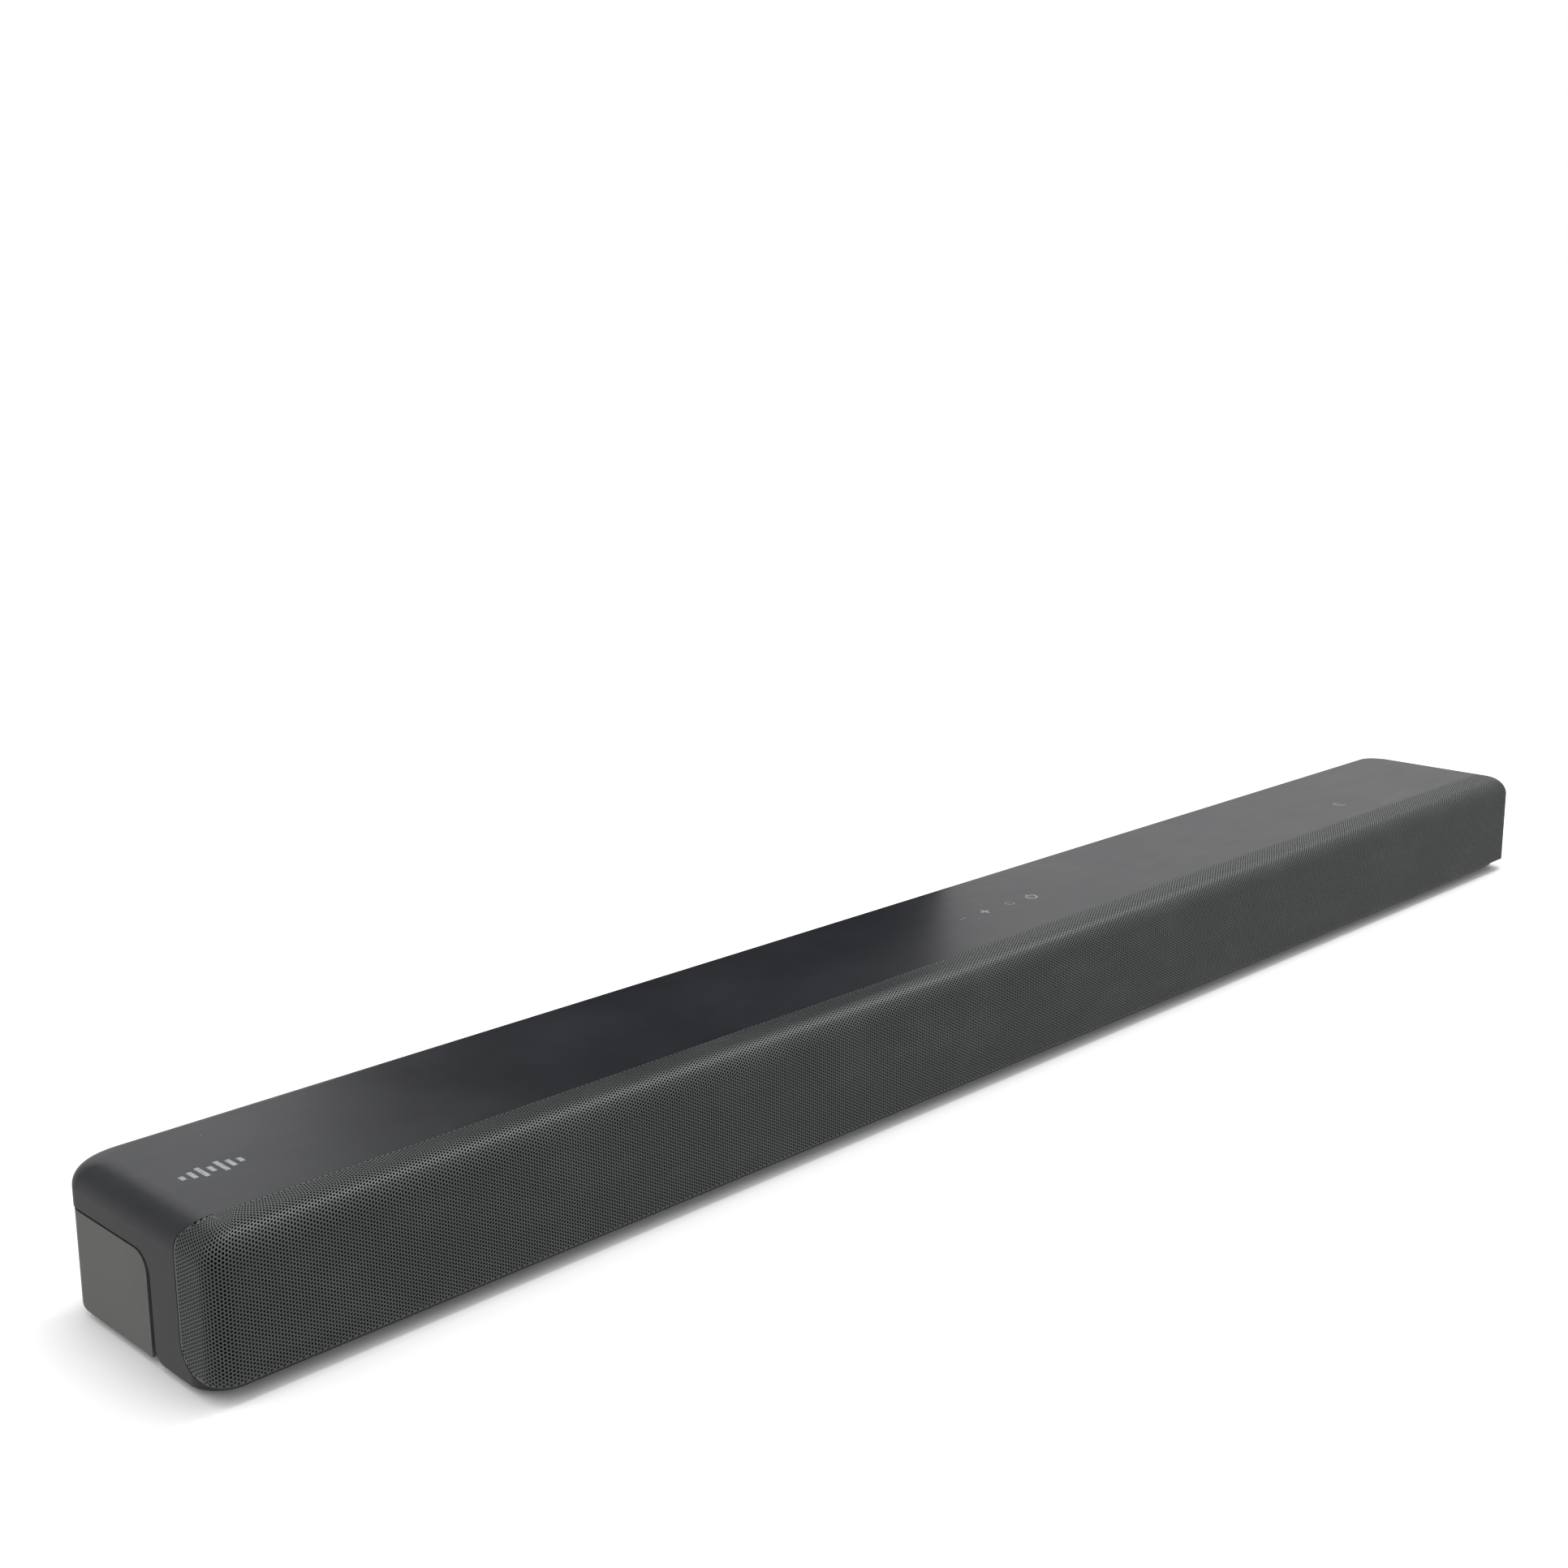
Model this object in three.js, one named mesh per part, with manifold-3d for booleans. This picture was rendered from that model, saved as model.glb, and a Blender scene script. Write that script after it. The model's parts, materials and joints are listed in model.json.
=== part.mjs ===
// A 3-channel soundbar: a long, low loudspeaker that stands in front of a television or hangs on the wall
// under it. Millimetres, +Z up, +X to the right for someone who looks at its front, -Y out of its front.
// The origin is on the surface that the bar stands on, under the middle of its box.
import * as THREE from "three";
import { mergeVertices } from "three/addons/utils/BufferGeometryUtils.js";
import Module from "manifold-3d";

const wasm = await Module();
wasm.setup();

// ---- Driving dimensions -------------------------------------------------------------------------------

// Whole bar
const LENGTH = 980;
const DEPTH = 108;
const HEIGHT = 64;
const END_ROUND = 12; // top edge over each end
const FRONT_ROUND = 12; // top edge over the front
const REAR_ROUND = 9.5; // top edge over the rear
const FRONT_CORNER = 10; // upright corners at the front, in plan
const REAR_CORNER = 8; // upright corners at the rear, in plan
const ROUND_STEPS = 6; // flats in a quarter round

// Casing
const CLEAR = 0.3; // between pieces that touch
const COVER_WALL = 1.8;
const PANEL_INSET = 0.6; // how far the end and rear panels sit inside the cover's face
const LIP = 1.2; // thickness of the lip that closes the gap round the panels
const LIP_REACH = 5; // how far that lip runs behind the cover
const BASE_Z = 3; // underside of the base
const BASE_WALL = 2.4;
const PANEL_TOP_Z = 43.6;
const PANEL_FRONT_Y = -6.4;
const PANEL_GAP = 1.2; // between a panel and the cover's edge above it
const CHEEK_GAP = 2.4; // between an end panel and the cheek in front of it
const PANEL_ROUND = 8;
const SKIRT_SETBACK = 4.5; // the base's front is behind the grille's front
const SKIRT_CORNER = 11;

// Grille
const GRILLE_SHEET = 1;
const GRILLE_TOP_Y = -34;
const GRILLE_SIDE_Y = -29;
const GRILLE_BOTTOM_Z = 7.5;
const GRILLE_TOP_CORNER = 6;
const GRILLE_BOTTOM_CORNER = 10;
const GRILLE_GAP = 0.5; // between the grille's edge and the cover

// Baffle behind the grille
const BAFFLE_SETBACK = 6.6; // its front behind the grille's front
const BAFFLE_WALL = 2.5;
const BAFFLE_END_GAP = 12; // from the bar's end to the baffle's end
const BAFFLE_BOTTOM_Z = 10;
const BAFFLE_TOP_GAP = 8; // from the bar's top to the baffle's top

// Speaker boxes
const BOX_WIDTH = 180;
const BOX_WALL = 2;
const BOX_REAR_Y = 26;
const BOX_BOTTOM_Z = 8;
const BOX_TOP_GAP = 8; // from the bar's top to a box's top
const OUTER_BOX_FROM_END = 108; // from the bar's end to the middle of an outer box

// Speaker driver, 45 x 100 mm class, with a straight-sided oval frame
const DRIVER_Z = 33; // height of the driver's axis
const FRAME_HALF_LONG = 52;
const FRAME_HALF_SHORT = 22.5;
const FRAME_RIM = 4.5;
const FRAME_THICK = 1.3;
const DRIVER_HOLE_CLEAR = 1.5;
const SURROUND_WIDTH = 5.5;
const SURROUND_HEIGHT = 2;
const SURROUND_SHEET = 0.5;
const SURROUND_LAND = 1.6; // flat edge of the surround, glued on the frame
const CONE_DEPTH = 12;
const CONE_SHEET = 0.7;
const COIL_RADIUS = 10;
const COIL_SHEET = 0.6;
const COIL_LENGTH = 13;
const COIL_GAP = 0.6; // air on each side of the coil
const CAP_RISE = 3.6;
const SPIDER_GAP = 1; // from the spider's edge to the basket's round back, across the axis
const BASKET_DEPTH = 20;
const BASKET_SHEET = 1.2;
const BASKET_TAPER = 2.5; // how far the basket's round back is inside its frame's straight sides
const MAGNET_RADIUS = 19;
const MAGNET_HOLE = 12.5;
const MAGNET_THICK = 8;
const PLATE_THICK = 4;
const YOKE_THICK = 3;
const OVAL_SIDES = 24;

// Display behind the grille
const DISPLAY_X = 185;
const DISPLAY_WIDTH = 92;
const DISPLAY_HEIGHT = 18;
const WINDOW_THICK = 1.4;
const WINDOW_EDGE = 3; // how far the window laps over the baffle round its opening
const BOARD_THICK = 1.6;
const DISPLAY_BOARD_EDGE = 4;
const DISPLAY_PART_DEPTH = 5;
const RECEIVER_X = 118;
const RECEIVER_SIZE = 6;

// Touch keys under the top
const TOUCH_X = 7;
const TOUCH_Y = 3;
const TOUCH_LENGTH = 112;
const TOUCH_WIDTH = 24;

// Rear terminals
const BAY_X = 180;
const BAY_LENGTH = 132;
const BAY_LOW_Z = 11;
const BAY_HIGH_Z = 39;
const BAY_DEPTH = 18;
const BAY_WALL = 1.6;
const INSERT_EDGE = 6; // a bay's face plate reaches past the bay on each side
const INSERT_LOW_Z = 8.5;
const SOCKET_Z = 25;
const SOCKET_PROUD = 1.2; // a socket's shell stands out of the bay's floor
const SOCKET_CLEAR = 0.4;
const VIDEO_OUT_X = 142;
const VIDEO_IN_X = 168;
const VIDEO_SIZE = [15.6, 6.2];
const VIDEO_MOUTH = [14, 4.7];
const VIDEO_DEPTH = 11;
const SERVICE_X = 216;
const SERVICE_SIZE = [14.4, 7.2];
const SERVICE_MOUTH = [12.6, 5.2];
const SERVICE_DEPTH = 12;
const OPTICAL_X = 192;
const OPTICAL_SIZE = [12.4, 12.4];
const OPTICAL_MOUTH = [9.6, 9.6];
const OPTICAL_DEPTH = 12.5;
const SOCKET_BACK = 1.4;
const TERMINAL_BOARD_HALF_HEIGHT = 12;
const SHUTTER_SIZE = 8.8;
const SHUTTER_THICK = 0.8;
const SHUTTER_SETBACK = 1.2;
const MAINS_X = -212;
const MAINS_BAY_LENGTH = 46;
const MAINS_SIZE = [24, 16];
const MAINS_MOUTH = [18, 9.4];
const MAINS_DEPTH = 13;
const MAINS_PIN_RADIUS = 1.2;
const MAINS_PIN_SPACING = 8.6;
const MAINS_PIN_LENGTH = 10;

// Boards
const POWER_X = -192;
const POWER_SIZE = [150, 44];
const MAIN_X = 196;
const MAIN_SIZE = [150, 44];
const BOARD_Z = 12;
const POWER_BOARD_Y = -12;
const MAIN_BOARD_Y = -8;
const SINK_SIZE = [70, 10, 30];
const SINK_FINS = 9;
const SINK_BASE = 2.5;
const TRANSFORMER_SIZE = [32, 26, 24];
const CAPACITOR_RADIUS = 9;
const CAPACITOR_LENGTH = 26;
const RADIO_SIZE = [34, 3.2, 26];

// Wall plates and feet
const KEYHOLE_X = 405;
const KEYHOLE_Z = 30;
const KEYHOLE_SHEET = 1.5;
const KEYHOLE_HEAD_RADIUS = 5;
const KEYHOLE_SLOT_RADIUS = 2.4;
const KEYHOLE_SLOT_RISE = 8;
const KEYHOLE_DROP = 4; // from the plate's middle down to the head's hole
const KEYHOLE_RECESS = 0.6;
const KEYHOLE_NOTCH = 46; // length of the opening that the plate fills
const KEYHOLE_NOTCH_LOW_Z = 16;
const KEYHOLE_FLANGE = 4;
const KEYHOLE_BOX_DEPTH = 4;
const FOOT_X = 385;
const FOOT_Y = 34;
const FOOT_LENGTH = 46;
const FOOT_WIDTH = 12;

// Wiring
const LOOM_RADIUS = 2;
const LOOM_Y = 33;
const LOOM_Z = 8.5;

// ---- Places worked out from the driving dimensions ----------------------------------------------------

const END_X = LENGTH / 2;
const REAR_Y = DEPTH / 2;
const FRONT_Y = -DEPTH / 2;
const SKIRT_TOP_Z = GRILLE_BOTTOM_Z - GRILLE_GAP;
const BAFFLE_FRONT_Y = FRONT_Y + BAFFLE_SETBACK;
const BAFFLE_REAR_Y = BAFFLE_FRONT_Y + BAFFLE_WALL;
const BAFFLE_TOP_Z = HEIGHT - BAFFLE_TOP_GAP;
const BOX_TOP_Z = HEIGHT - BOX_TOP_GAP;
const OUTER_BOX_X = END_X - OUTER_BOX_FROM_END;
const CABINET_DEPTH = COVER_WALL + CLEAR + LIP; // from the bar's face to the cabinet wall's inner face
const WALL_INSIDE_Y = REAR_Y - CABINET_DEPTH;
const PANEL_FACE_Y = REAR_Y - PANEL_INSET;
const BAY_FLOOR_Y = PANEL_FACE_Y - BAY_DEPTH;
const FRAME_FRONT_Y = BAFFLE_FRONT_Y - CLEAR - FRAME_THICK;
const CONE_HALF_LONG = FRAME_HALF_LONG - FRAME_RIM - SURROUND_WIDTH;
const CONE_HALF_SHORT = FRAME_HALF_SHORT - FRAME_RIM - SURROUND_WIDTH + 3;
const FAR = 2 * LENGTH; // longer than anything in the bar

// ---- Solids -------------------------------------------------------------------------------------------

// A closed geometry as a manifold-3d solid.
function solid(geometry) {
  const bare = geometry.clone();
  bare.deleteAttribute("normal");
  bare.deleteAttribute("uv");
  const merged = mergeVertices(bare, 1e-4);
  const position = merged.getAttribute("position");
  return new wasm.Manifold(
    new wasm.Mesh({
      numProp: 3,
      vertProperties: new Float32Array(position.array),
      triVerts: new Uint32Array(merged.index.array),
    }),
  );
}

// A manifold-3d solid as a geometry.
function geometryOf(manifold) {
  const mesh = manifold.getMesh();
  const geometry = new THREE.BufferGeometry();
  geometry.setAttribute("position", new THREE.BufferAttribute(mesh.vertProperties, 3));
  geometry.setIndex(new THREE.BufferAttribute(mesh.triVerts, 1));
  const flat = geometry.toNonIndexed();
  flat.computeVertexNormals();
  return flat;
}

const union = (first, ...others) => others.reduce((sum, next) => sum.add(next), first);
const cut = (first, ...others) => others.reduce((rest, next) => rest.subtract(next), first);

// A box from its lowest and highest corners.
function block(low, high) {
  const size = high.map((value, k) => value - low[k]);
  const box = new THREE.BoxGeometry(...size);
  box.translate(...low.map((value, k) => value + size[k] / 2));
  return solid(box);
}

// A box from its middle and size.
function blockAt(middle, size) {
  const low = middle.map((value, k) => value - size[k] / 2);
  const high = middle.map((value, k) => value + size[k] / 2);
  return block(low, high);
}

// A cylinder along Y between two faces.
function rod(x, z, radius, nearY, farY, sides = 28) {
  const cylinder = new THREE.CylinderGeometry(radius, radius, farY - nearY, sides);
  cylinder.translate(x, (nearY + farY) / 2, z);
  return solid(cylinder);
}

// An outline whose corners are [across, up, radius], in order round the shape.
function outline(corners) {
  const shape = new THREE.Shape();
  corners.forEach(([x, y, radius], k) => {
    const here = new THREE.Vector2(x, y);
    const last = corners[(k + corners.length - 1) % corners.length];
    const next = corners[(k + 1) % corners.length];
    const back = new THREE.Vector2(last[0], last[1]).sub(here).normalize();
    const on = new THREE.Vector2(next[0], next[1]).sub(here).normalize();
    const place = (point) => (k === 0 ? shape.moveTo(point.x, point.y) : shape.lineTo(point.x, point.y));
    if (!(radius > 0)) return place(here);
    const half = Math.acos(back.dot(on)) / 2;
    const centre = here.clone().addScaledVector(back.clone().add(on).normalize(), radius / Math.sin(half));
    const start = here.clone().addScaledVector(back, radius / Math.tan(half));
    place(start);
    const end = here.clone().addScaledVector(on, radius / Math.tan(half));
    const from = start.clone().sub(centre).angle();
    let turn = end.clone().sub(centre).angle() - from;
    turn = Math.atan2(Math.sin(turn), Math.cos(turn));
    for (let step = 1; step <= ROUND_STEPS; step++) {
      const angle = from + (turn * step) / ROUND_STEPS;
      shape.lineTo(centre.x + radius * Math.cos(angle), centre.y + radius * Math.sin(angle));
    }
  });
  return shape;
}

// An outline drawn in plan and raised along Z.
function upright(shape, low, high) {
  const body = new THREE.ExtrudeGeometry(shape, { depth: high - low, bevelEnabled: false });
  body.translate(0, 0, low);
  return solid(body);
}

// An outline drawn as seen from the right-hand end, (y, z), run along X.
function lengthwise(shape, from, to) {
  const body = new THREE.ExtrudeGeometry(shape, { depth: to - from, bevelEnabled: false });
  const axes = new THREE.Matrix4().makeBasis(
    new THREE.Vector3(0, 1, 0),
    new THREE.Vector3(0, 0, 1),
    new THREE.Vector3(1, 0, 0),
  );
  body.applyMatrix4(axes);
  body.translate(from, 0, 0);
  return solid(body);
}

// An outline drawn as seen from the front, (x, z), run along Y.
function crosswise(shape, from, to) {
  const body = new THREE.ExtrudeGeometry(shape, { depth: to - from, bevelEnabled: false });
  body.rotateX(Math.PI / 2);
  body.translate(0, to, 0);
  return solid(body);
}

// The bar's outer form, set in by a distance on every side but the bottom, from a height up.
function barForm(inset, bottom) {
  const end = END_X - inset;
  const rear = REAR_Y - inset;
  const front = FRONT_Y + inset;
  const top = HEIGHT - inset;
  const section = lengthwise(
    outline([
      [front, bottom, 0],
      [rear, bottom, 0],
      [rear, top, REAR_ROUND - inset],
      [front, top, FRONT_ROUND - inset],
    ]),
    -end,
    end,
  );
  const elevation = crosswise(
    outline([
      [-end, bottom, 0],
      [end, bottom, 0],
      [end, top, END_ROUND - inset],
      [-end, top, END_ROUND - inset],
    ]),
    front,
    rear,
  );
  const plan = upright(
    outline([
      [-end, front, FRONT_CORNER - inset],
      [end, front, FRONT_CORNER - inset],
      [end, rear, REAR_CORNER - inset],
      [-end, rear, REAR_CORNER - inset],
    ]),
    bottom,
    top,
  );
  return section.intersect(elevation).intersect(plan);
}

// The base's plan: flush with the ends, behind the grille at the front.
function basePlan(inset) {
  const end = END_X - inset;
  const front = FRONT_Y + SKIRT_SETBACK + inset;
  return outline([
    [-end, front, SKIRT_CORNER - inset],
    [end, front, SKIRT_CORNER - inset],
    [end, REAR_Y - inset, Math.max(REAR_CORNER - inset, 0)],
    [-end, REAR_Y - inset, Math.max(REAR_CORNER - inset, 0)],
  ]);
}

// The space that the grille fills, seen from the end and grown by a gap.
function grilleZone(gap) {
  const side = GRILLE_SIDE_Y + gap;
  const top = GRILLE_TOP_Y + gap;
  return outline([
    [FRONT_Y - DEPTH, GRILLE_BOTTOM_Z - gap, 0],
    [side, GRILLE_BOTTOM_Z - gap, GRILLE_BOTTOM_CORNER + gap],
    [side, HEIGHT - END_ROUND / 2, GRILLE_TOP_CORNER + gap],
    [top, HEIGHT, 0],
    [top, HEIGHT + DEPTH, 0],
    [FRONT_Y - DEPTH, HEIGHT + DEPTH, 0],
  ]);
}

// The space that the end and rear panels fill, seen from the end and grown at its front and its top.
function panelZone(forward, upward) {
  return outline([
    [PANEL_FRONT_Y - forward, -DEPTH, 0],
    [REAR_Y + DEPTH, -DEPTH, 0],
    [REAR_Y + DEPTH, PANEL_TOP_Z + upward, 0],
    [PANEL_FRONT_Y - forward, PANEL_TOP_Z + upward, PANEL_ROUND + upward],
  ]);
}

// ---- Casing -------------------------------------------------------------------------------------------

function topCover() {
  const shell = cut(barForm(0, BASE_Z), barForm(COVER_WALL, 0));
  const skirt = cut(
    upright(basePlan(0), BASE_Z, SKIRT_TOP_Z),
    upright(basePlan(COVER_WALL), BASE_Z - 1, SKIRT_TOP_Z + 1),
  );
  const underGrille = block([-FAR, FRONT_Y - DEPTH, -DEPTH], [FAR, PANEL_FRONT_Y, SKIRT_TOP_Z]);
  const grille = lengthwise(grilleZone(GRILLE_GAP), -FAR, FAR);
  const panels = lengthwise(panelZone(CHEEK_GAP, PANEL_GAP), -FAR, FAR);
  return cut(union(cut(shell, underGrille), skirt.intersect(underGrille)), grille, panels);
}

function bottomCabinet() {
  const panels = cut(barForm(PANEL_INSET, BASE_Z), barForm(CABINET_DEPTH, 0)).intersect(
    lengthwise(panelZone(0, 0), -FAR, FAR),
  );
  const behindCover = COVER_WALL + CLEAR;
  const lip = cut(barForm(behindCover, BASE_Z), barForm(CABINET_DEPTH, 0)).intersect(
    lengthwise(panelZone(LIP_REACH, LIP_REACH), -FAR, FAR),
  );
  const base = upright(basePlan(behindCover), BASE_Z, BASE_Z + BASE_WALL);
  const notch = (x, length, lowZ) =>
    block([x - length / 2, REAR_Y - 2 * CABINET_DEPTH, lowZ], [x + length / 2, REAR_Y + DEPTH, HEIGHT]);
  return cut(
    union(panels, lip, base),
    notch(BAY_X, BAY_LENGTH + 2 * (INSERT_EDGE + CLEAR), INSERT_LOW_Z - CLEAR),
    notch(MAINS_X, MAINS_BAY_LENGTH + 2 * (INSERT_EDGE + CLEAR), INSERT_LOW_Z - CLEAR),
    notch(-KEYHOLE_X, KEYHOLE_NOTCH, KEYHOLE_NOTCH_LOW_Z),
    notch(KEYHOLE_X, KEYHOLE_NOTCH, KEYHOLE_NOTCH_LOW_Z),
  );
}

// A plate that fills a notch in the rear wall, with a tongue behind the cover's lower edge.
function rearInsert(x, length) {
  const low = x - length / 2;
  const high = x + length / 2;
  const tongueY = REAR_Y - COVER_WALL - CLEAR;
  return union(
    block([low, WALL_INSIDE_Y, INSERT_LOW_Z], [high, PANEL_FACE_Y, PANEL_TOP_Z]),
    block([low, WALL_INSIDE_Y, PANEL_TOP_Z - LIP_REACH], [high, tongueY, PANEL_TOP_Z + LIP_REACH]),
  );
}

function frontGrille() {
  const sheet = cut(barForm(0, GRILLE_BOTTOM_Z), barForm(GRILLE_SHEET, 0));
  return sheet.intersect(lengthwise(grilleZone(0), -FAR, FAR));
}

// ---- Baffle and speaker boxes -------------------------------------------------------------------------

// The middle of each driver and its box along the bar, by name.
const CHANNELS = { left: -OUTER_BOX_X, centre: 0, right: OUTER_BOX_X };

// A straight-sided oval round a driver's axis, as points in a plane across Y.
function oval(x, y, halfLong, halfShort) {
  const points = [];
  const straight = halfLong - halfShort;
  for (let k = 0; k < OVAL_SIDES; k++) {
    const angle = ((k + 0.5) * 2 * Math.PI) / OVAL_SIDES;
    const across = Math.sign(Math.cos(angle)) * straight + halfShort * Math.cos(angle);
    points.push(new THREE.Vector3(x + across, y, DRIVER_Z + halfShort * Math.sin(angle)));
  }
  return points;
}

// A solid skinned over rings of equal point count: closed on itself, or with a flat cap on its two end rings.
function skinned(rings, closed) {
  const count = rings[0].length;
  const positions = rings.flat().flatMap((point) => [point.x, point.y, point.z]);
  const index = [];
  const last = closed ? rings.length : rings.length - 1;
  for (let r = 0; r < last; r++) {
    for (let k = 0; k < count; k++) {
      const a = r * count + k;
      const b = r * count + ((k + 1) % count);
      const c = ((r + 1) % rings.length) * count + k;
      const d = ((r + 1) % rings.length) * count + ((k + 1) % count);
      index.push(a, c, b, b, c, d);
    }
  }
  if (!closed) {
    const end = (rings.length - 1) * count;
    for (let k = 1; k < count - 1; k++) {
      index.push(0, k, k + 1);
      index.push(end, end + k + 1, end + k);
    }
  }
  const geometry = new THREE.BufferGeometry();
  geometry.setAttribute("position", new THREE.Float32BufferAttribute(positions, 3));
  geometry.setIndex(index);
  const made = solid(geometry);
  if (made.volume() > 0) return made;
  const turned = [];
  for (let k = 0; k < index.length; k += 3) turned.push(index[k], index[k + 2], index[k + 1]);
  geometry.setIndex(turned);
  return solid(geometry);
}

// A plate with the frame's oval outline or opening, between two faces.
const ovalPlate = (x, nearY, farY, halfLong, halfShort) =>
  skinned([oval(x, nearY, halfLong, halfShort), oval(x, farY, halfLong, halfShort)], false);

function frontBaffle() {
  const end = END_X - BAFFLE_END_GAP;
  const plate = block([-end, BAFFLE_FRONT_Y, BAFFLE_BOTTOM_Z], [end, BAFFLE_REAR_Y, BAFFLE_TOP_Z]);
  const openings = Object.values(CHANNELS).map((x) =>
    ovalPlate(
      x,
      BAFFLE_FRONT_Y - 1,
      BAFFLE_REAR_Y + 1,
      FRAME_HALF_LONG - FRAME_RIM + DRIVER_HOLE_CLEAR,
      FRAME_HALF_SHORT - FRAME_RIM + DRIVER_HOLE_CLEAR,
    ),
  );
  const deep = BAFFLE_WALL + 2;
  const middleY = (BAFFLE_FRONT_Y + BAFFLE_REAR_Y) / 2;
  const display = blockAt(
    [DISPLAY_X, middleY, DRIVER_Z],
    [DISPLAY_WIDTH - 2 * WINDOW_EDGE, deep, DISPLAY_HEIGHT - 2 * WINDOW_EDGE],
  );
  const receiver = blockAt([RECEIVER_X, middleY, DRIVER_Z], [RECEIVER_SIZE + 1, deep, RECEIVER_SIZE + 1]);
  return cut(plate, ...openings, display, receiver);
}

// A box open at its front, which the baffle closes.
function speakerBox(x) {
  const front = BAFFLE_REAR_Y + CLEAR;
  const outer = block([x - BOX_WIDTH / 2, front, BOX_BOTTOM_Z], [x + BOX_WIDTH / 2, BOX_REAR_Y, BOX_TOP_Z]);
  const room = block(
    [x - BOX_WIDTH / 2 + BOX_WALL, front - 1, BOX_BOTTOM_Z + BOX_WALL],
    [x + BOX_WIDTH / 2 - BOX_WALL, BOX_REAR_Y - BOX_WALL, BOX_TOP_Z - BOX_WALL],
  );
  return cut(outer, room);
}

// ---- Speaker driver -----------------------------------------------------------------------------------

// Planes across the driver's axis, from its frame's front to its yoke.
const CONE_EDGE_Y = FRAME_FRONT_Y + 0.4;
const CONE_NECK_Y = CONE_EDGE_Y + CONE_DEPTH;
const COIL_END_Y = CONE_NECK_Y + CLEAR + COIL_LENGTH;
const BASKET_BACK_Y = FRAME_FRONT_Y + BASKET_DEPTH;
const BASKET_BACK_RADIUS = FRAME_HALF_SHORT - BASKET_TAPER;
const SPIDER_RADIUS = BASKET_BACK_RADIUS - BASKET_SHEET - SPIDER_GAP;
const SPIDER_Y = CONE_NECK_Y + 4;
const PLATE_FRONT_Y = BASKET_BACK_Y + CLEAR;
const MAGNET_FRONT_Y = PLATE_FRONT_Y + PLATE_THICK + CLEAR;
const YOKE_FRONT_Y = MAGNET_FRONT_Y + MAGNET_THICK + CLEAR;
const COIL_INNER = COIL_RADIUS - COIL_SHEET;
const circle = (x, y, radius) => oval(x, y, radius, radius);

// A ring between a smaller and a larger oval, through a list of [y, smaller, larger] planes.
function basket(x) {
  const openLong = FRAME_HALF_LONG - FRAME_RIM;
  const openShort = FRAME_HALF_SHORT - FRAME_RIM;
  const rearY = FRAME_FRONT_Y + FRAME_THICK;
  const back = BASKET_BACK_Y - BASKET_SHEET;
  const body = skinned(
    [
      oval(x, FRAME_FRONT_Y, FRAME_HALF_LONG, FRAME_HALF_SHORT),
      oval(x, rearY, FRAME_HALF_LONG, FRAME_HALF_SHORT),
      oval(x, rearY, openLong + BASKET_SHEET, openShort + BASKET_SHEET),
      circle(x, BASKET_BACK_Y, BASKET_BACK_RADIUS),
      circle(x, BASKET_BACK_Y, COIL_RADIUS + COIL_GAP + 1),
      circle(x, back, COIL_RADIUS + COIL_GAP + 1),
      circle(x, back, BASKET_BACK_RADIUS - BASKET_SHEET),
      oval(x, rearY, openLong, openShort),
      oval(x, FRAME_FRONT_Y, openLong, openShort),
    ],
    true,
  );
  const windowDepth = BASKET_DEPTH - FRAME_THICK - 8;
  const windowY = rearY + 4 + windowDepth / 2;
  const window = (dx) => blockAt([x + dx, windowY, DRIVER_Z], [22, windowDepth, 12]);
  return cut(body, window(-30), window(30));
}

// The rubber half roll between the frame and the cone.
function surround(x) {
  const outerLong = FRAME_HALF_LONG - FRAME_RIM - CLEAR + SURROUND_LAND + 1;
  const outerShort = FRAME_HALF_SHORT - FRAME_RIM - CLEAR + SURROUND_LAND + 1;
  const landY = FRAME_FRONT_Y - CLEAR;
  const roll = outerLong - (CONE_HALF_LONG + CLEAR) - SURROUND_LAND;
  const shortRoll = outerShort - (CONE_HALF_SHORT + CLEAR) - SURROUND_LAND;
  const at = (share, y) => {
    const long = CONE_HALF_LONG + CLEAR + roll * share;
    const short = CONE_HALF_SHORT + CLEAR + shortRoll * share;
    return oval(x, y, long, short);
  };
  const arch = [0, 0.2, 0.5, 0.8, 1].map((share) => [
    share,
    SURROUND_HEIGHT * Math.sqrt(1 - (2 * share - 1) ** 2),
  ]);
  const front = arch.map(([share, rise]) => at(share, landY - SURROUND_SHEET - rise));
  const back = arch.map(([share, rise]) => at(share, landY - rise));
  const land = [landY - SURROUND_SHEET, landY].map((y) => oval(x, y, outerLong, outerShort));
  return skinned([...front, ...land, ...back.reverse()], true);
}

function cone(x) {
  return skinned(
    [
      oval(x, CONE_EDGE_Y, CONE_HALF_LONG, CONE_HALF_SHORT),
      circle(x, CONE_NECK_Y, COIL_RADIUS),
      circle(x, CONE_NECK_Y, COIL_INNER),
      oval(x, CONE_EDGE_Y, CONE_HALF_LONG - CONE_SHEET * 2, CONE_HALF_SHORT - CONE_SHEET * 2),
    ],
    true,
  );
}

function dustCap(x) {
  const rim = COIL_INNER - CLEAR;
  const rimY = CONE_NECK_Y;
  const dome = [1, 0.8, 0.45, 0.12].map((share) =>
    circle(x, rimY - CAP_RISE * (1 - share ** 2), rim * share),
  );
  return skinned([circle(x, rimY + CONE_SHEET, rim), ...dome], false);
}

const tube = (x, nearY, farY, inner, outer) =>
  skinned(
    [circle(x, nearY, outer), circle(x, farY, outer), circle(x, farY, inner), circle(x, nearY, inner)],
    true,
  );

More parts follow.
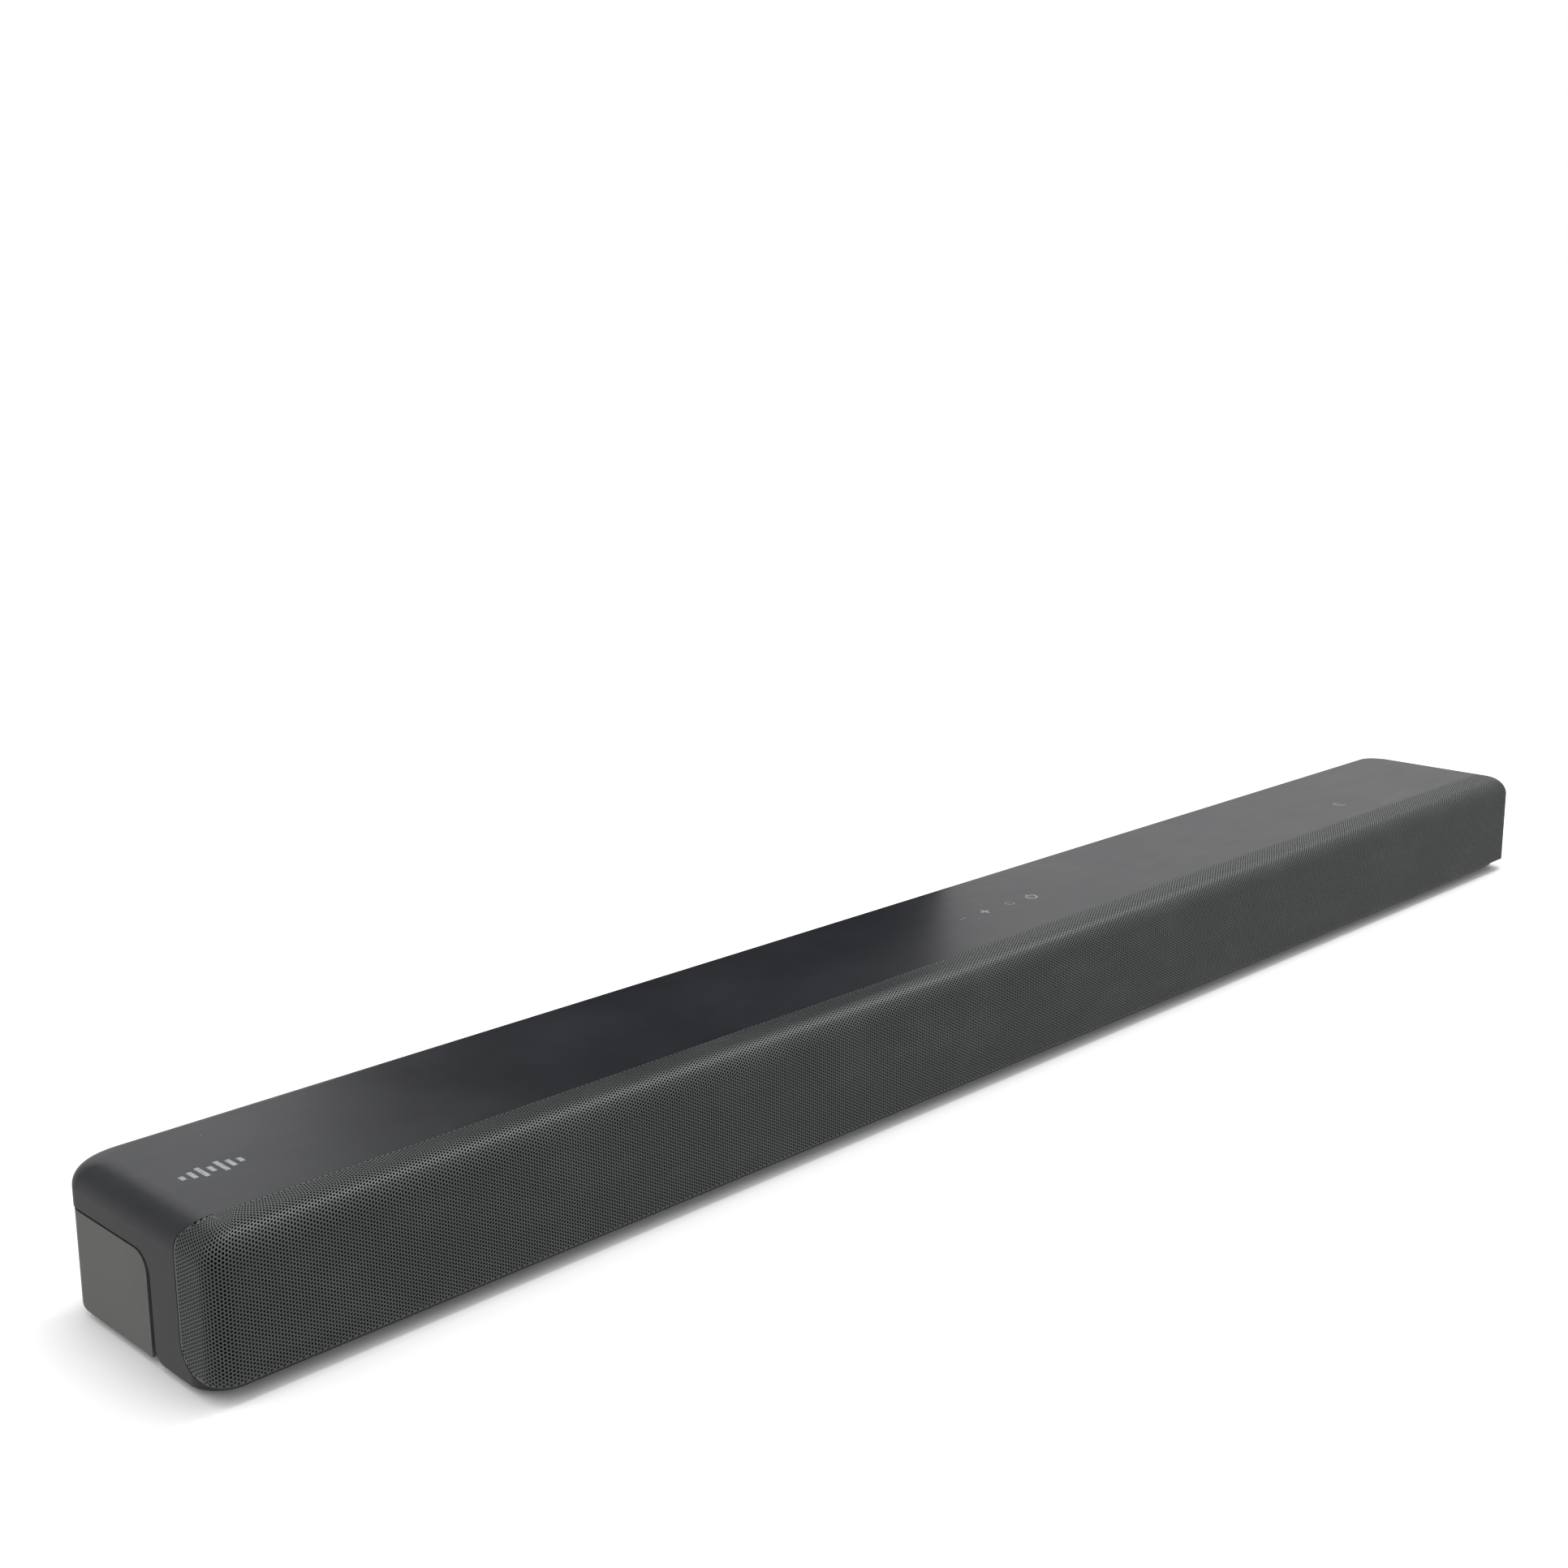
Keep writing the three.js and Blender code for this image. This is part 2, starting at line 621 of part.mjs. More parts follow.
const voiceCoil = (x) => tube(x, CONE_NECK_Y + CLEAR, COIL_END_Y, COIL_INNER, COIL_RADIUS);
const spider = (x) => tube(x, SPIDER_Y, SPIDER_Y + 0.8, COIL_RADIUS + CLEAR, SPIDER_RADIUS);
const polePlate = (x) =>
  tube(x, PLATE_FRONT_Y, PLATE_FRONT_Y + PLATE_THICK, COIL_RADIUS + COIL_GAP, MAGNET_RADIUS - 1);
const magnet = (x) => tube(x, MAGNET_FRONT_Y, MAGNET_FRONT_Y + MAGNET_THICK, MAGNET_HOLE, MAGNET_RADIUS);

function poleYoke(x) {
  const pole = COIL_INNER - COIL_GAP;
  return skinned(
    [
      circle(x, PLATE_FRONT_Y, pole),
      circle(x, YOKE_FRONT_Y, pole),
      circle(x, YOKE_FRONT_Y, MAGNET_RADIUS - 1),
      circle(x, YOKE_FRONT_Y + YOKE_THICK, MAGNET_RADIUS - 1),
    ],
    false,
  );
}

// ---- Display, remote receiver and touch board ---------------------------------------------------------

function displayWindow() {
  const y = BAFFLE_FRONT_Y - CLEAR - WINDOW_THICK / 2;
  return blockAt([DISPLAY_X, y, DRIVER_Z], [DISPLAY_WIDTH, WINDOW_THICK, DISPLAY_HEIGHT]);
}

const DISPLAY_BOARD_Y = BAFFLE_REAR_Y + CLEAR + DISPLAY_PART_DEPTH;

// The board, with the block of light elements that shows through the window.
function displayBoard() {
  const low = RECEIVER_X - RECEIVER_SIZE - DISPLAY_BOARD_EDGE;
  const high = DISPLAY_X + DISPLAY_WIDTH / 2 + DISPLAY_BOARD_EDGE;
  const halfHeight = DISPLAY_HEIGHT / 2 + DISPLAY_BOARD_EDGE;
  const board = block(
    [low, DISPLAY_BOARD_Y, DRIVER_Z - halfHeight],
    [high, DISPLAY_BOARD_Y + BOARD_THICK, DRIVER_Z + halfHeight],
  );
  const reach = DISPLAY_BOARD_Y - BAFFLE_FRONT_Y - 0.6;
  const lights = blockAt(
    [DISPLAY_X, DISPLAY_BOARD_Y - reach / 2, DRIVER_Z],
    [DISPLAY_WIDTH - 2 * WINDOW_EDGE - 1, reach + 0.01, DISPLAY_HEIGHT - 2 * WINDOW_EDGE - 1],
  );
  return union(board, lights);
}

function remoteReceiver() {
  const rear = DISPLAY_BOARD_Y - CLEAR;
  const front = BAFFLE_FRONT_Y - 0.6;
  const half = RECEIVER_SIZE / 2;
  const body = block(
    [RECEIVER_X - half, front + 1.6, DRIVER_Z - half],
    [RECEIVER_X + half, rear, DRIVER_Z + half],
  );
  return union(body, rod(RECEIVER_X, DRIVER_Z, half * 0.8, front, front + 2, 16));
}

function touchBoard() {
  const top = HEIGHT - COVER_WALL - CLEAR;
  return blockAt([TOUCH_X, TOUCH_Y, top - BOARD_THICK / 2], [TOUCH_LENGTH, TOUCH_WIDTH, BOARD_THICK]);
}

// ---- Rear sockets -------------------------------------------------------------------------------------

// A tub on an insert in the rear panel, with a hole in its floor for each socket.
function socketBay(x, length, holes) {
  const height = BAY_HIGH_Z - BAY_LOW_Z;
  const middleZ = (BAY_LOW_Z + BAY_HIGH_Z) / 2;
  const tub = block(
    [x - length / 2, BAY_FLOOR_Y - BAY_WALL, BAY_LOW_Z],
    [x + length / 2, PANEL_FACE_Y, BAY_HIGH_Z],
  );
  const room = blockAt(
    [x, BAY_FLOOR_Y + DEPTH / 2, middleZ],
    [length - 2 * BAY_WALL, DEPTH, height - 2 * BAY_WALL],
  );
  const mouths = holes.map(([at, size]) =>
    blockAt(
      [at, BAY_FLOOR_Y, SOCKET_Z],
      [size[0] + 2 * SOCKET_CLEAR, 4 * BAY_WALL, size[1] + 2 * SOCKET_CLEAR],
    ),
  );
  return cut(union(tub, rearInsert(x, length + 2 * INSERT_EDGE)), room, ...mouths);
}

const terminalBay = () =>
  socketBay(BAY_X, BAY_LENGTH, [
    [VIDEO_OUT_X, VIDEO_SIZE],
    [VIDEO_IN_X, VIDEO_SIZE],
    [SERVICE_X, SERVICE_SIZE],
    [OPTICAL_X, OPTICAL_SIZE],
  ]);
const mainsBay = () => socketBay(MAINS_X, MAINS_BAY_LENGTH, [[MAINS_X, MAINS_SIZE]]);

// A socket's shell: a block with a mouth that faces the rear.
function socketShell(x, size, mouth, depth) {
  const face = BAY_FLOOR_Y + SOCKET_PROUD;
  const shell = block(
    [x - size[0] / 2, face - depth - SOCKET_BACK, SOCKET_Z - size[1] / 2],
    [x + size[0] / 2, face, SOCKET_Z + size[1] / 2],
  );
  const room = block(
    [x - mouth[0] / 2, face - depth, SOCKET_Z - mouth[1] / 2],
    [x + mouth[0] / 2, face + 1, SOCKET_Z + mouth[1] / 2],
  );
  return cut(shell, room);
}

// The mains inlet: a shell with two round pins that stand up from the back of its mouth.
function mainsInlet() {
  const back = BAY_FLOOR_Y + SOCKET_PROUD - MAINS_DEPTH;
  const pins = [-1, 1].map((side) =>
    rod(
      MAINS_X + (side * MAINS_PIN_SPACING) / 2,
      SOCKET_Z,
      MAINS_PIN_RADIUS,
      back - SOCKET_BACK / 2,
      back + MAINS_PIN_LENGTH,
      12,
    ),
  );
  return union(socketShell(MAINS_X, MAINS_SIZE, MAINS_MOUTH, MAINS_DEPTH), ...pins);
}

// The board that the rear sockets are soldered to.
function terminalBoard() {
  const deepest = Math.max(VIDEO_DEPTH, SERVICE_DEPTH, OPTICAL_DEPTH) + SOCKET_BACK;
  const rear = BAY_FLOOR_Y + SOCKET_PROUD - deepest - CLEAR;
  return block(
    [BAY_X - BAY_LENGTH / 2 + BAY_WALL, rear - BOARD_THICK, SOCKET_Z - TERMINAL_BOARD_HALF_HEIGHT],
    [BAY_X + BAY_LENGTH / 2 - BAY_WALL, rear, SOCKET_Z + TERMINAL_BOARD_HALF_HEIGHT],
  );
}

const SHUTTER_REAR_Y = BAY_FLOOR_Y + SOCKET_PROUD - SHUTTER_SETBACK;

// The flap that a plug pushes in, hung on its upper edge.
function opticalShutter() {
  return blockAt(
    [OPTICAL_X, SHUTTER_REAR_Y - SHUTTER_THICK / 2, SOCKET_Z],
    [SHUTTER_SIZE, SHUTTER_THICK, SHUTTER_SIZE],
  );
}

// ---- Boards -------------------------------------------------------------------------------------------

function uprightBoard(x, y, size) {
  return block([x - size[0] / 2, y, BOARD_Z], [x + size[0] / 2, y + BOARD_THICK, BOARD_Z + size[1]]);
}

function heatSink() {
  const [length, depth, height] = SINK_SIZE;
  const y = MAIN_BOARD_Y - CLEAR;
  const low = BOARD_Z + 6;
  const base = block([MAIN_X - length / 2, y - SINK_BASE, low], [MAIN_X + length / 2, y, low + height]);
  const pitch = (length - SINK_BASE / 2) / (SINK_FINS - 1);
  const fins = [];
  for (let k = 0; k < SINK_FINS; k++) {
    const x = MAIN_X - length / 2 + k * pitch;
    fins.push(block([x, y - depth, low], [x + SINK_BASE / 2, y - SINK_BASE / 2, low + height]));
  }
  return union(base, ...fins);
}

function transformer() {
  const [length, depth, height] = TRANSFORMER_SIZE;
  const y = POWER_BOARD_Y - CLEAR;
  const core = block(
    [POWER_X - length / 2, y - depth, BOARD_Z + 8],
    [POWER_X + length / 2, y, BOARD_Z + 8 + height],
  );
  const winding = block(
    [POWER_X - length / 2 + 7, y - depth - 2, BOARD_Z + 4],
    [POWER_X + length / 2 - 7, y - 3, BOARD_Z + 12 + height],
  );
  return union(core, winding);
}

function filterCapacitor() {
  const y = POWER_BOARD_Y - CLEAR;
  return rod(POWER_X + 42, BOARD_Z + 20, CAPACITOR_RADIUS, y - CAPACITOR_LENGTH, y, 20);
}

function radioModule() {
  const [length, depth, height] = RADIO_SIZE;
  const y = MAIN_BOARD_Y - CLEAR;
  const x = MAIN_X - 56;
  return block([x - length / 2, y - depth, BOARD_Z + 10], [x + length / 2, y, BOARD_Z + 10 + height]);
}

// ---- Wall plates, feet and wiring ---------------------------------------------------------------------

// A pressed steel box in a notch of the rear panel, with a keyhole for a screw's head and shank,
// and a flange inside.
function keyholePlate(x) {
  const face = PANEL_FACE_Y - KEYHOLE_RECESS;
  const back = face - KEYHOLE_BOX_DEPTH;
  const halfLength = KEYHOLE_NOTCH / 2 - CLEAR;
  const low = KEYHOLE_NOTCH_LOW_Z + CLEAR;
  const box = block([x - halfLength, back, low], [x + halfLength, face, PANEL_TOP_Z]);
  const flange = block(
    [x - halfLength - KEYHOLE_FLANGE, back, low - KEYHOLE_FLANGE],
    [x + halfLength + KEYHOLE_FLANGE, WALL_INSIDE_Y - CLEAR, PANEL_TOP_Z],
  );
  const hollow = block(
    [x - halfLength + KEYHOLE_SHEET, back - KEYHOLE_BOX_DEPTH, low + KEYHOLE_SHEET],
    [x + halfLength - KEYHOLE_SHEET, face - KEYHOLE_SHEET, PANEL_TOP_Z - KEYHOLE_SHEET],
  );
  const headZ = KEYHOLE_Z - KEYHOLE_DROP;
  const head = rod(x, headZ, KEYHOLE_HEAD_RADIUS, back, REAR_Y, 24);
  const shank = rod(x, headZ + KEYHOLE_SLOT_RISE, KEYHOLE_SLOT_RADIUS, back, REAR_Y, 16);
  const slot = block(
    [x - KEYHOLE_SLOT_RADIUS, back, headZ],
    [x + KEYHOLE_SLOT_RADIUS, REAR_Y, headZ + KEYHOLE_SLOT_RISE],
  );
  return cut(union(box, flange), hollow, head, shank, slot);
}

// A rubber pad with round ends, stuck under the base.
function foot(x, y) {
  const halfLength = FOOT_LENGTH / 2;
  const halfWidth = FOOT_WIDTH / 2;
  const pad = outline([
    [x - halfLength, y - halfWidth, halfWidth - 0.5],
    [x + halfLength, y - halfWidth, halfWidth - 0.5],
    [x + halfLength, y + halfWidth, halfWidth - 0.5],
    [x - halfLength, y + halfWidth, halfWidth - 0.5],
  ]);
  return upright(pad, 0, BASE_Z - CLEAR);
}

// The bundle of speaker leads, along the base behind the boxes.
function speakerLoom() {
  const end = OUTER_BOX_X;
  const route = new THREE.CatmullRomCurve3(
    [-end, -end / 2, 0, end / 2, end].map((x, k) => new THREE.Vector3(x, LOOM_Y + (k % 2), LOOM_Z)),
  );
  const section = new THREE.Shape();
  for (let k = 0; k < 8; k++) {
    const angle = (k * Math.PI) / 4;
    const point = [LOOM_RADIUS * Math.cos(angle), LOOM_RADIUS * Math.sin(angle)];
    if (k === 0) section.moveTo(...point);
    else section.lineTo(...point);
  }
  return solid(new THREE.ExtrudeGeometry(section, { steps: 24, extrudePath: route, bevelEnabled: false }));
}

// ---- Finishes and assembly ----------------------------------------------------------------------------

const finish = (color, roughness, metalness = 0) =>
  new THREE.MeshStandardMaterial({ color, roughness, metalness });
const FINISH = {
  cover: finish(0x3a3c3d, 0.62),
  panel: finish(0x4a4c4a, 0.5),
  grille: finish(0x2c2e2f, 0.45, 0.5),
  baffle: finish(0x141516, 0.8),
  box: finish(0x1c1d1f, 0.7),
  steel: finish(0x8b8e90, 0.35, 1),
  ferrite: finish(0x24252a, 0.6),
  cone: finish(0x1b1b1d, 0.9),
  rubber: finish(0x161617, 0.85),
  spider: finish(0x8a6a34, 0.9),
  copper: finish(0x9a5a2c, 0.4, 1),
  window: finish(0x08090b, 0.1),
  board: finish(0x1f5a37, 0.6),
  aluminium: finish(0xa8abae, 0.4, 1),
  socket: finish(0xb9bcbf, 0.3, 1),
  black: finish(0x0f1011, 0.6),
  tape: finish(0xb08a2e, 0.5),
  sleeve: finish(0x2f2f35, 0.5),
};

const group = new THREE.Group();

function add(name, made, material) {
  const mesh = new THREE.Mesh(geometryOf(made), material);
  mesh.name = name;
  group.add(mesh);
}

add("top_cover", topCover(), FINISH.cover);
add("bottom_cabinet", bottomCabinet(), FINISH.panel);
add("front_grille", frontGrille(), FINISH.grille);
add("front_baffle", frontBaffle(), FINISH.baffle);

for (const [side, x] of Object.entries(CHANNELS)) {
  add(`${side}_speaker_box`, speakerBox(x), FINISH.box);
  add(`${side}_basket`, basket(x), FINISH.black);
  add(`${side}_surround`, surround(x), FINISH.rubber);
  add(`${side}_cone`, cone(x), FINISH.cone);
  add(`${side}_dust_cap`, dustCap(x), FINISH.cone);
  add(`${side}_voice_coil`, voiceCoil(x), FINISH.copper);
  add(`${side}_spider`, spider(x), FINISH.spider);
  add(`${side}_pole_plate`, polePlate(x), FINISH.steel);
  add(`${side}_magnet`, magnet(x), FINISH.ferrite);
  add(`${side}_pole_yoke`, poleYoke(x), FINISH.steel);
}

add("display_window", displayWindow(), FINISH.window);
add("display_board", displayBoard(), FINISH.board);
add("remote_receiver", remoteReceiver(), FINISH.window);
add("touch_board", touchBoard(), FINISH.board);
add("terminal_bay", terminalBay(), FINISH.black);
add("mains_bay", mainsBay(), FINISH.black);
add("video_out_socket", socketShell(VIDEO_OUT_X, VIDEO_SIZE, VIDEO_MOUTH, VIDEO_DEPTH), FINISH.socket);
add("video_in_socket", socketShell(VIDEO_IN_X, VIDEO_SIZE, VIDEO_MOUTH, VIDEO_DEPTH), FINISH.socket);
add("service_socket", socketShell(SERVICE_X, SERVICE_SIZE, SERVICE_MOUTH, SERVICE_DEPTH), FINISH.socket);
add("optical_socket", socketShell(OPTICAL_X, OPTICAL_SIZE, OPTICAL_MOUTH, OPTICAL_DEPTH), FINISH.black);
add("optical_shutter", opticalShutter(), FINISH.sleeve);
add("mains_inlet", mainsInlet(), FINISH.black);
add("terminal_board", terminalBoard(), FINISH.board);
add("power_board", uprightBoard(POWER_X, POWER_BOARD_Y, POWER_SIZE), FINISH.board);
add("transformer", transformer(), FINISH.tape);
add("filter_capacitor", filterCapacitor(), FINISH.sleeve);
add("main_board", uprightBoard(MAIN_X, MAIN_BOARD_Y, MAIN_SIZE), FINISH.board);
add("heat_sink", heatSink(), FINISH.aluminium);
add("radio_module", radioModule(), FINISH.socket);
add("left_keyhole_plate", keyholePlate(-KEYHOLE_X), FINISH.steel);
add("right_keyhole_plate", keyholePlate(KEYHOLE_X), FINISH.steel);
add("front_left_foot", foot(-FOOT_X, -FOOT_Y), FINISH.rubber);
add("front_right_foot", foot(FOOT_X, -FOOT_Y), FINISH.rubber);
add("rear_left_foot", foot(-FOOT_X, FOOT_Y), FINISH.rubber);
add("rear_right_foot", foot(FOOT_X, FOOT_Y), FINISH.rubber);
add("speaker_loom", speakerLoom(), FINISH.sleeve);

export default group;
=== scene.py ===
"""A soundbar's looks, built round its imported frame: casing, perforated grille, drivers, sockets and marks."""

from __future__ import annotations

import json
import logging
import math
from collections import Counter
from dataclasses import dataclass
from enum import Enum
from typing import Callable, Iterable, Sequence

import bmesh
import bpy
import numpy as np
from mathutils import Matrix, Vector

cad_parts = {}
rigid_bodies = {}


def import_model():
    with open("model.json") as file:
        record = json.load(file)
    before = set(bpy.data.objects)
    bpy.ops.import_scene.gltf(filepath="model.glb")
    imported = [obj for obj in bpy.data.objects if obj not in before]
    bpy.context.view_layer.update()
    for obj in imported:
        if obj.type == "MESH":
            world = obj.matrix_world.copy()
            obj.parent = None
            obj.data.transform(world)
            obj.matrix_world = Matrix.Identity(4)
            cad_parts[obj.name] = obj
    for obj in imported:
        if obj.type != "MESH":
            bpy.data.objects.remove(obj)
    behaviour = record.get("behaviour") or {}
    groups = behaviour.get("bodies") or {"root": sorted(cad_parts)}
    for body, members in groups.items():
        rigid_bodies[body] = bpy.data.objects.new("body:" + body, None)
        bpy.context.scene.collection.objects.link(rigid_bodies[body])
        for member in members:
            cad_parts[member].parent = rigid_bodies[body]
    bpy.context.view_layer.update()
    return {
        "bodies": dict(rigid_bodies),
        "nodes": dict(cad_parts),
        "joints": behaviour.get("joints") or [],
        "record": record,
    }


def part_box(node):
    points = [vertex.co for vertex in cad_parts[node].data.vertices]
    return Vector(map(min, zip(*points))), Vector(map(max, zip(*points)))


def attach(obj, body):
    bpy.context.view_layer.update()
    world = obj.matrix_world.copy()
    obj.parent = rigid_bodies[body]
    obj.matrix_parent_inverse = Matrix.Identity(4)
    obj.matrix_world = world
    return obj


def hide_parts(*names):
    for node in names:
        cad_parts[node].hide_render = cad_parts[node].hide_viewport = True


LOG = logging.getLogger("soundbar")
MM = 0.001
CHASSIS = "chassis"
Point2 = tuple[float, float]
Point3 = tuple[float, float, float]
Colour = tuple[float, float, float]


class Slot(Enum):
    """The record's material slots, which new pieces name beside their finish."""

    COVER = "cover_plastic"
    CABINET = "panel_plastic"
    GRILLE = "grille_metal"
    BLACK = "black_plastic"
    STEEL = "steel"
    SOCKET = "socket_metal"


# ---- Shader nodes -------------------------------------------------------------------------------------


class Value:
    """A number that a node gives out. Sums on it add Math nodes to its tree."""

    def __init__(self, tree: ShaderTree, socket: bpy.types.NodeSocket) -> None:
        """Keep the tree and the socket that the number comes from."""
        self.tree = tree
        self.socket = socket

    def _math(self, operation: str, first: Value | float, second: Value | float) -> Value:
        """Add one Math node and return its result."""
        node = self.tree.node("ShaderNodeMath", {"operation": operation}, {0: first, 1: second})
        return Value(self.tree, node.outputs[0])

    def __add__(self, other: Value | float) -> Value:
        """Sum."""
        return self._math("ADD", self, other)

    def __radd__(self, other: float) -> Value:
        """Sum with a plain number on the left."""
        return self._math("ADD", other, self)

    def __sub__(self, other: Value | float) -> Value:
        """Difference."""
        return self._math("SUBTRACT", self, other)

    def __rsub__(self, other: float) -> Value:
        """Difference from a plain number on the left."""
        return self._math("SUBTRACT", other, self)

    def __mul__(self, other: Value | float) -> Value:
        """Product."""
        return self._math("MULTIPLY", self, other)

    def __rmul__(self, other: float) -> Value:
        """Product with a plain number on the left."""
        return self._math("MULTIPLY", other, self)

    def __truediv__(self, other: Value | float) -> Value:
        """Quotient."""
        return self._math("DIVIDE", self, other)

    def __gt__(self, other: Value | float) -> Value:
        """1 where this is the greater, else 0."""
        return self._math("GREATER_THAN", self, other)

    def __lt__(self, other: Value | float) -> Value:
        """1 where this is the smaller, else 0."""
        return self._math("LESS_THAN", self, other)

    def ramp(self, low: float, high: float) -> Value:
        """A smooth step.

        Args:
            low: the value at which the step leaves 0.
            high: the value at which it reaches 1. It may be below low.

        Returns:
            The step's height, from 0 to 1.
        """
        node = self.tree.node(
            "ShaderNodeMapRange",
            {"interpolation_type": "SMOOTHSTEP", "clamp": True},
            {"Value": self, "From Min": low, "From Max": high},
        )
        return Value(self.tree, node.outputs["Result"])


class ShaderTree:
    """A material's node tree, with one method that makes every node."""

    def __init__(self, name: str) -> None:
        """Start an empty material.

        Args:
            name: the material's name.
        """
        self.material = bpy.data.materials.new(name)
        self.material.use_nodes = True
        self.nodes = self.material.node_tree.nodes
        self.links = self.material.node_tree.links
        self.nodes.clear()
        coordinates = self.node("ShaderNodeTexCoord")
        self.place = coordinates.outputs["Object"]

    def node(
        self,
        kind: str,
        settings: dict[str, object] | None = None,
        inputs: dict[str | int, object] | None = None,
    ) -> bpy.types.Node:
        """Make one node.

        Args:
            kind: the node's type.
            settings: the node's own properties, set first.
            inputs: a value, a socket or a Value for each input, by name or number.

        Returns:
            The node.
        """
        node = self.nodes.new(kind)
        for key, value in (settings or {}).items():
            setattr(node, key, value)
        for key, value in (inputs or {}).items():
            socket = node.inputs[key]
            if isinstance(value, Value):
                self.links.new(value.socket, socket)
            elif isinstance(value, bpy.types.NodeSocket):
                self.links.new(value, socket)
            else:
                socket.default_value = value
        return node

    def stretched(self, scale: Point3) -> bpy.types.NodeSocket:
        """The place on the piece, scaled along each axis.

        Args:
            scale: the factor along x, y and z.

        Returns:
            The scaled place.
        """
        node = self.node("ShaderNodeMapping", {}, {"Vector": self.place, "Scale": scale})
        return node.outputs["Vector"]

    def axis(self, letter: str) -> Value:
        """One coordinate of the place on the piece, in metres."""
        node = self.node("ShaderNodeSeparateXYZ", {}, {"Vector": self.place})
        return Value(self, node.outputs[letter])

    def noise(
        self, size: float, detail: float = 2.0, rough: float = 0.5, scale: Point3 | None = None
    ) -> Value:
        """Cloudy noise.

        Args:
            size: the width of one cloud in millimetres.
            detail: how many finer layers lie on it.
            rough: the strength of the finer layers.
            scale: a stretch of the pattern along each axis, or None.

        Returns:
            The noise, from 0 to 1.
        """
        place = self.stretched(scale) if scale else self.place
        node = self.node(
            "ShaderNodeTexNoise",
            {},
            {"Vector": place, "Scale": 1 / (size * MM), "Detail": detail, "Roughness": rough},
        )
        return Value(self, node.outputs["Fac"])

    def specks(self, size: float, share: float) -> Value:
        """Small scattered dots.

        Args:
            size: the mean distance between dots in millimetres.
            share: a dot's radius as a share of that distance.

        Returns:
            1 in a dot, 0 elsewhere.
        """
        node = self.node(
            "ShaderNodeTexVoronoi", {}, {"Vector": self.place, "Scale": 1 / (size * MM)}
        )
        return Value(self, node.outputs["Distance"]).ramp(share, share * 0.6)

    def mix(
        self, factor: Value | float, first: Colour | bpy.types.NodeSocket, second: Colour
    ) -> bpy.types.NodeSocket:
        """Mix two colours.

        Args:
            factor: 0 for the first, 1 for the second.
            first: a colour or a colour socket.
            second: a colour.

        Returns:
            The mixed colour.
        """
        start = first if isinstance(first, bpy.types.NodeSocket) else (*first, 1.0)
        node = self.node(
            "ShaderNodeMix", {"data_type": "RGBA"}, {0: factor, 6: start, 7: (*second, 1.0)}
        )
        return node.outputs[2]

    def bump(self, height: Value, depth: float, strength: float = 1.0) -> bpy.types.NodeSocket:
        """A normal that a height pattern tilts.

        Args:
            height: the pattern, from 0 to 1.
            depth: how deep the pattern is in millimetres.
            strength: how much of it shows.

        Returns:
            The normal.
        """
        node = self.node(
            "ShaderNodeBump", {}, {"Height": height, "Distance": depth * MM, "Strength": strength}
        )
        return node.outputs["Normal"]

    def principled(self, inputs: dict[str | int, object]) -> bpy.types.Material:
        """Close the tree with a Principled shader.

        Args:
            inputs: a value or link for each of its inputs.

        Returns:
            The finished material.
        """
        shader = self.node("ShaderNodeBsdfPrincipled", {}, inputs)
        self.node("ShaderNodeOutputMaterial", {}, {"Surface": shader.outputs["BSDF"]})
        return self.material


# ---- Finishes -----------------------------------------------------------------------------------------


class Finish:
    """A finish that makes its material once and hands it out again."""

    made: dict[str, bpy.types.Material] = {}

    def material(self) -> bpy.types.Material:
        """The finish's material, made on first use."""
        name = self.name
        if name not in Finish.made:
            Finish.made[name] = self.build(ShaderTree(name))
        return Finish.made[name]

    def build(self, tree: ShaderTree) -> bpy.types.Material:
        """Fill the tree. Each finish has its own.

        Args:
            tree: an empty shader tree.

        Returns:
            The material.
        """
        raise NotImplementedError


@dataclass(frozen=True)
class GrainedPlastic(Finish):
    """Moulded plastic with a spark-eroded grain, faint handling marks and a little dust."""

    name: str
    colour: Colour
    roughness: float = 0.45
    grain: float = 0.35
    depth: float = 0.012
    mark: float = 0.06
    dust: float = 0.0

    def build(self, tree: ShaderTree) -> bpy.types.Material:
        """Fill the tree.

        Args:
            tree: an empty shader tree.

        Returns:
            The material.
        """
        grain = tree.noise(self.grain, 3.0, 0.6)
        cloud = tree.noise(70.0, 4.0, 0.6)
        smear = tree.noise(9.0, 3.0, 0.65, (0.35, 1.0, 1.0))
        lighter = tuple(min(1.0, c * 1.35 + 0.004) for c in self.colour)
        tint = tree.mix(cloud.ramp(0.35, 0.75) * 0.5, self.colour, lighter)
        tint = tree.mix(grain.ramp(0.45, 0.8) * 0.35, tint, lighter)
        if self.dust:
            tint = tree.mix(tree.specks(17.0, 0.012) * self.dust, tint, (0.5, 0.5, 0.48))
        rough = self.roughness + (cloud - 0.5) * self.mark * 2 + (smear - 0.5) * self.mark
        return tree.principled(
            {
                "Base Color": tint,
                "Roughness": rough,
                "Normal": tree.bump(grain, self.depth),
                "Specular IOR Level": 0.4,
            }
        )


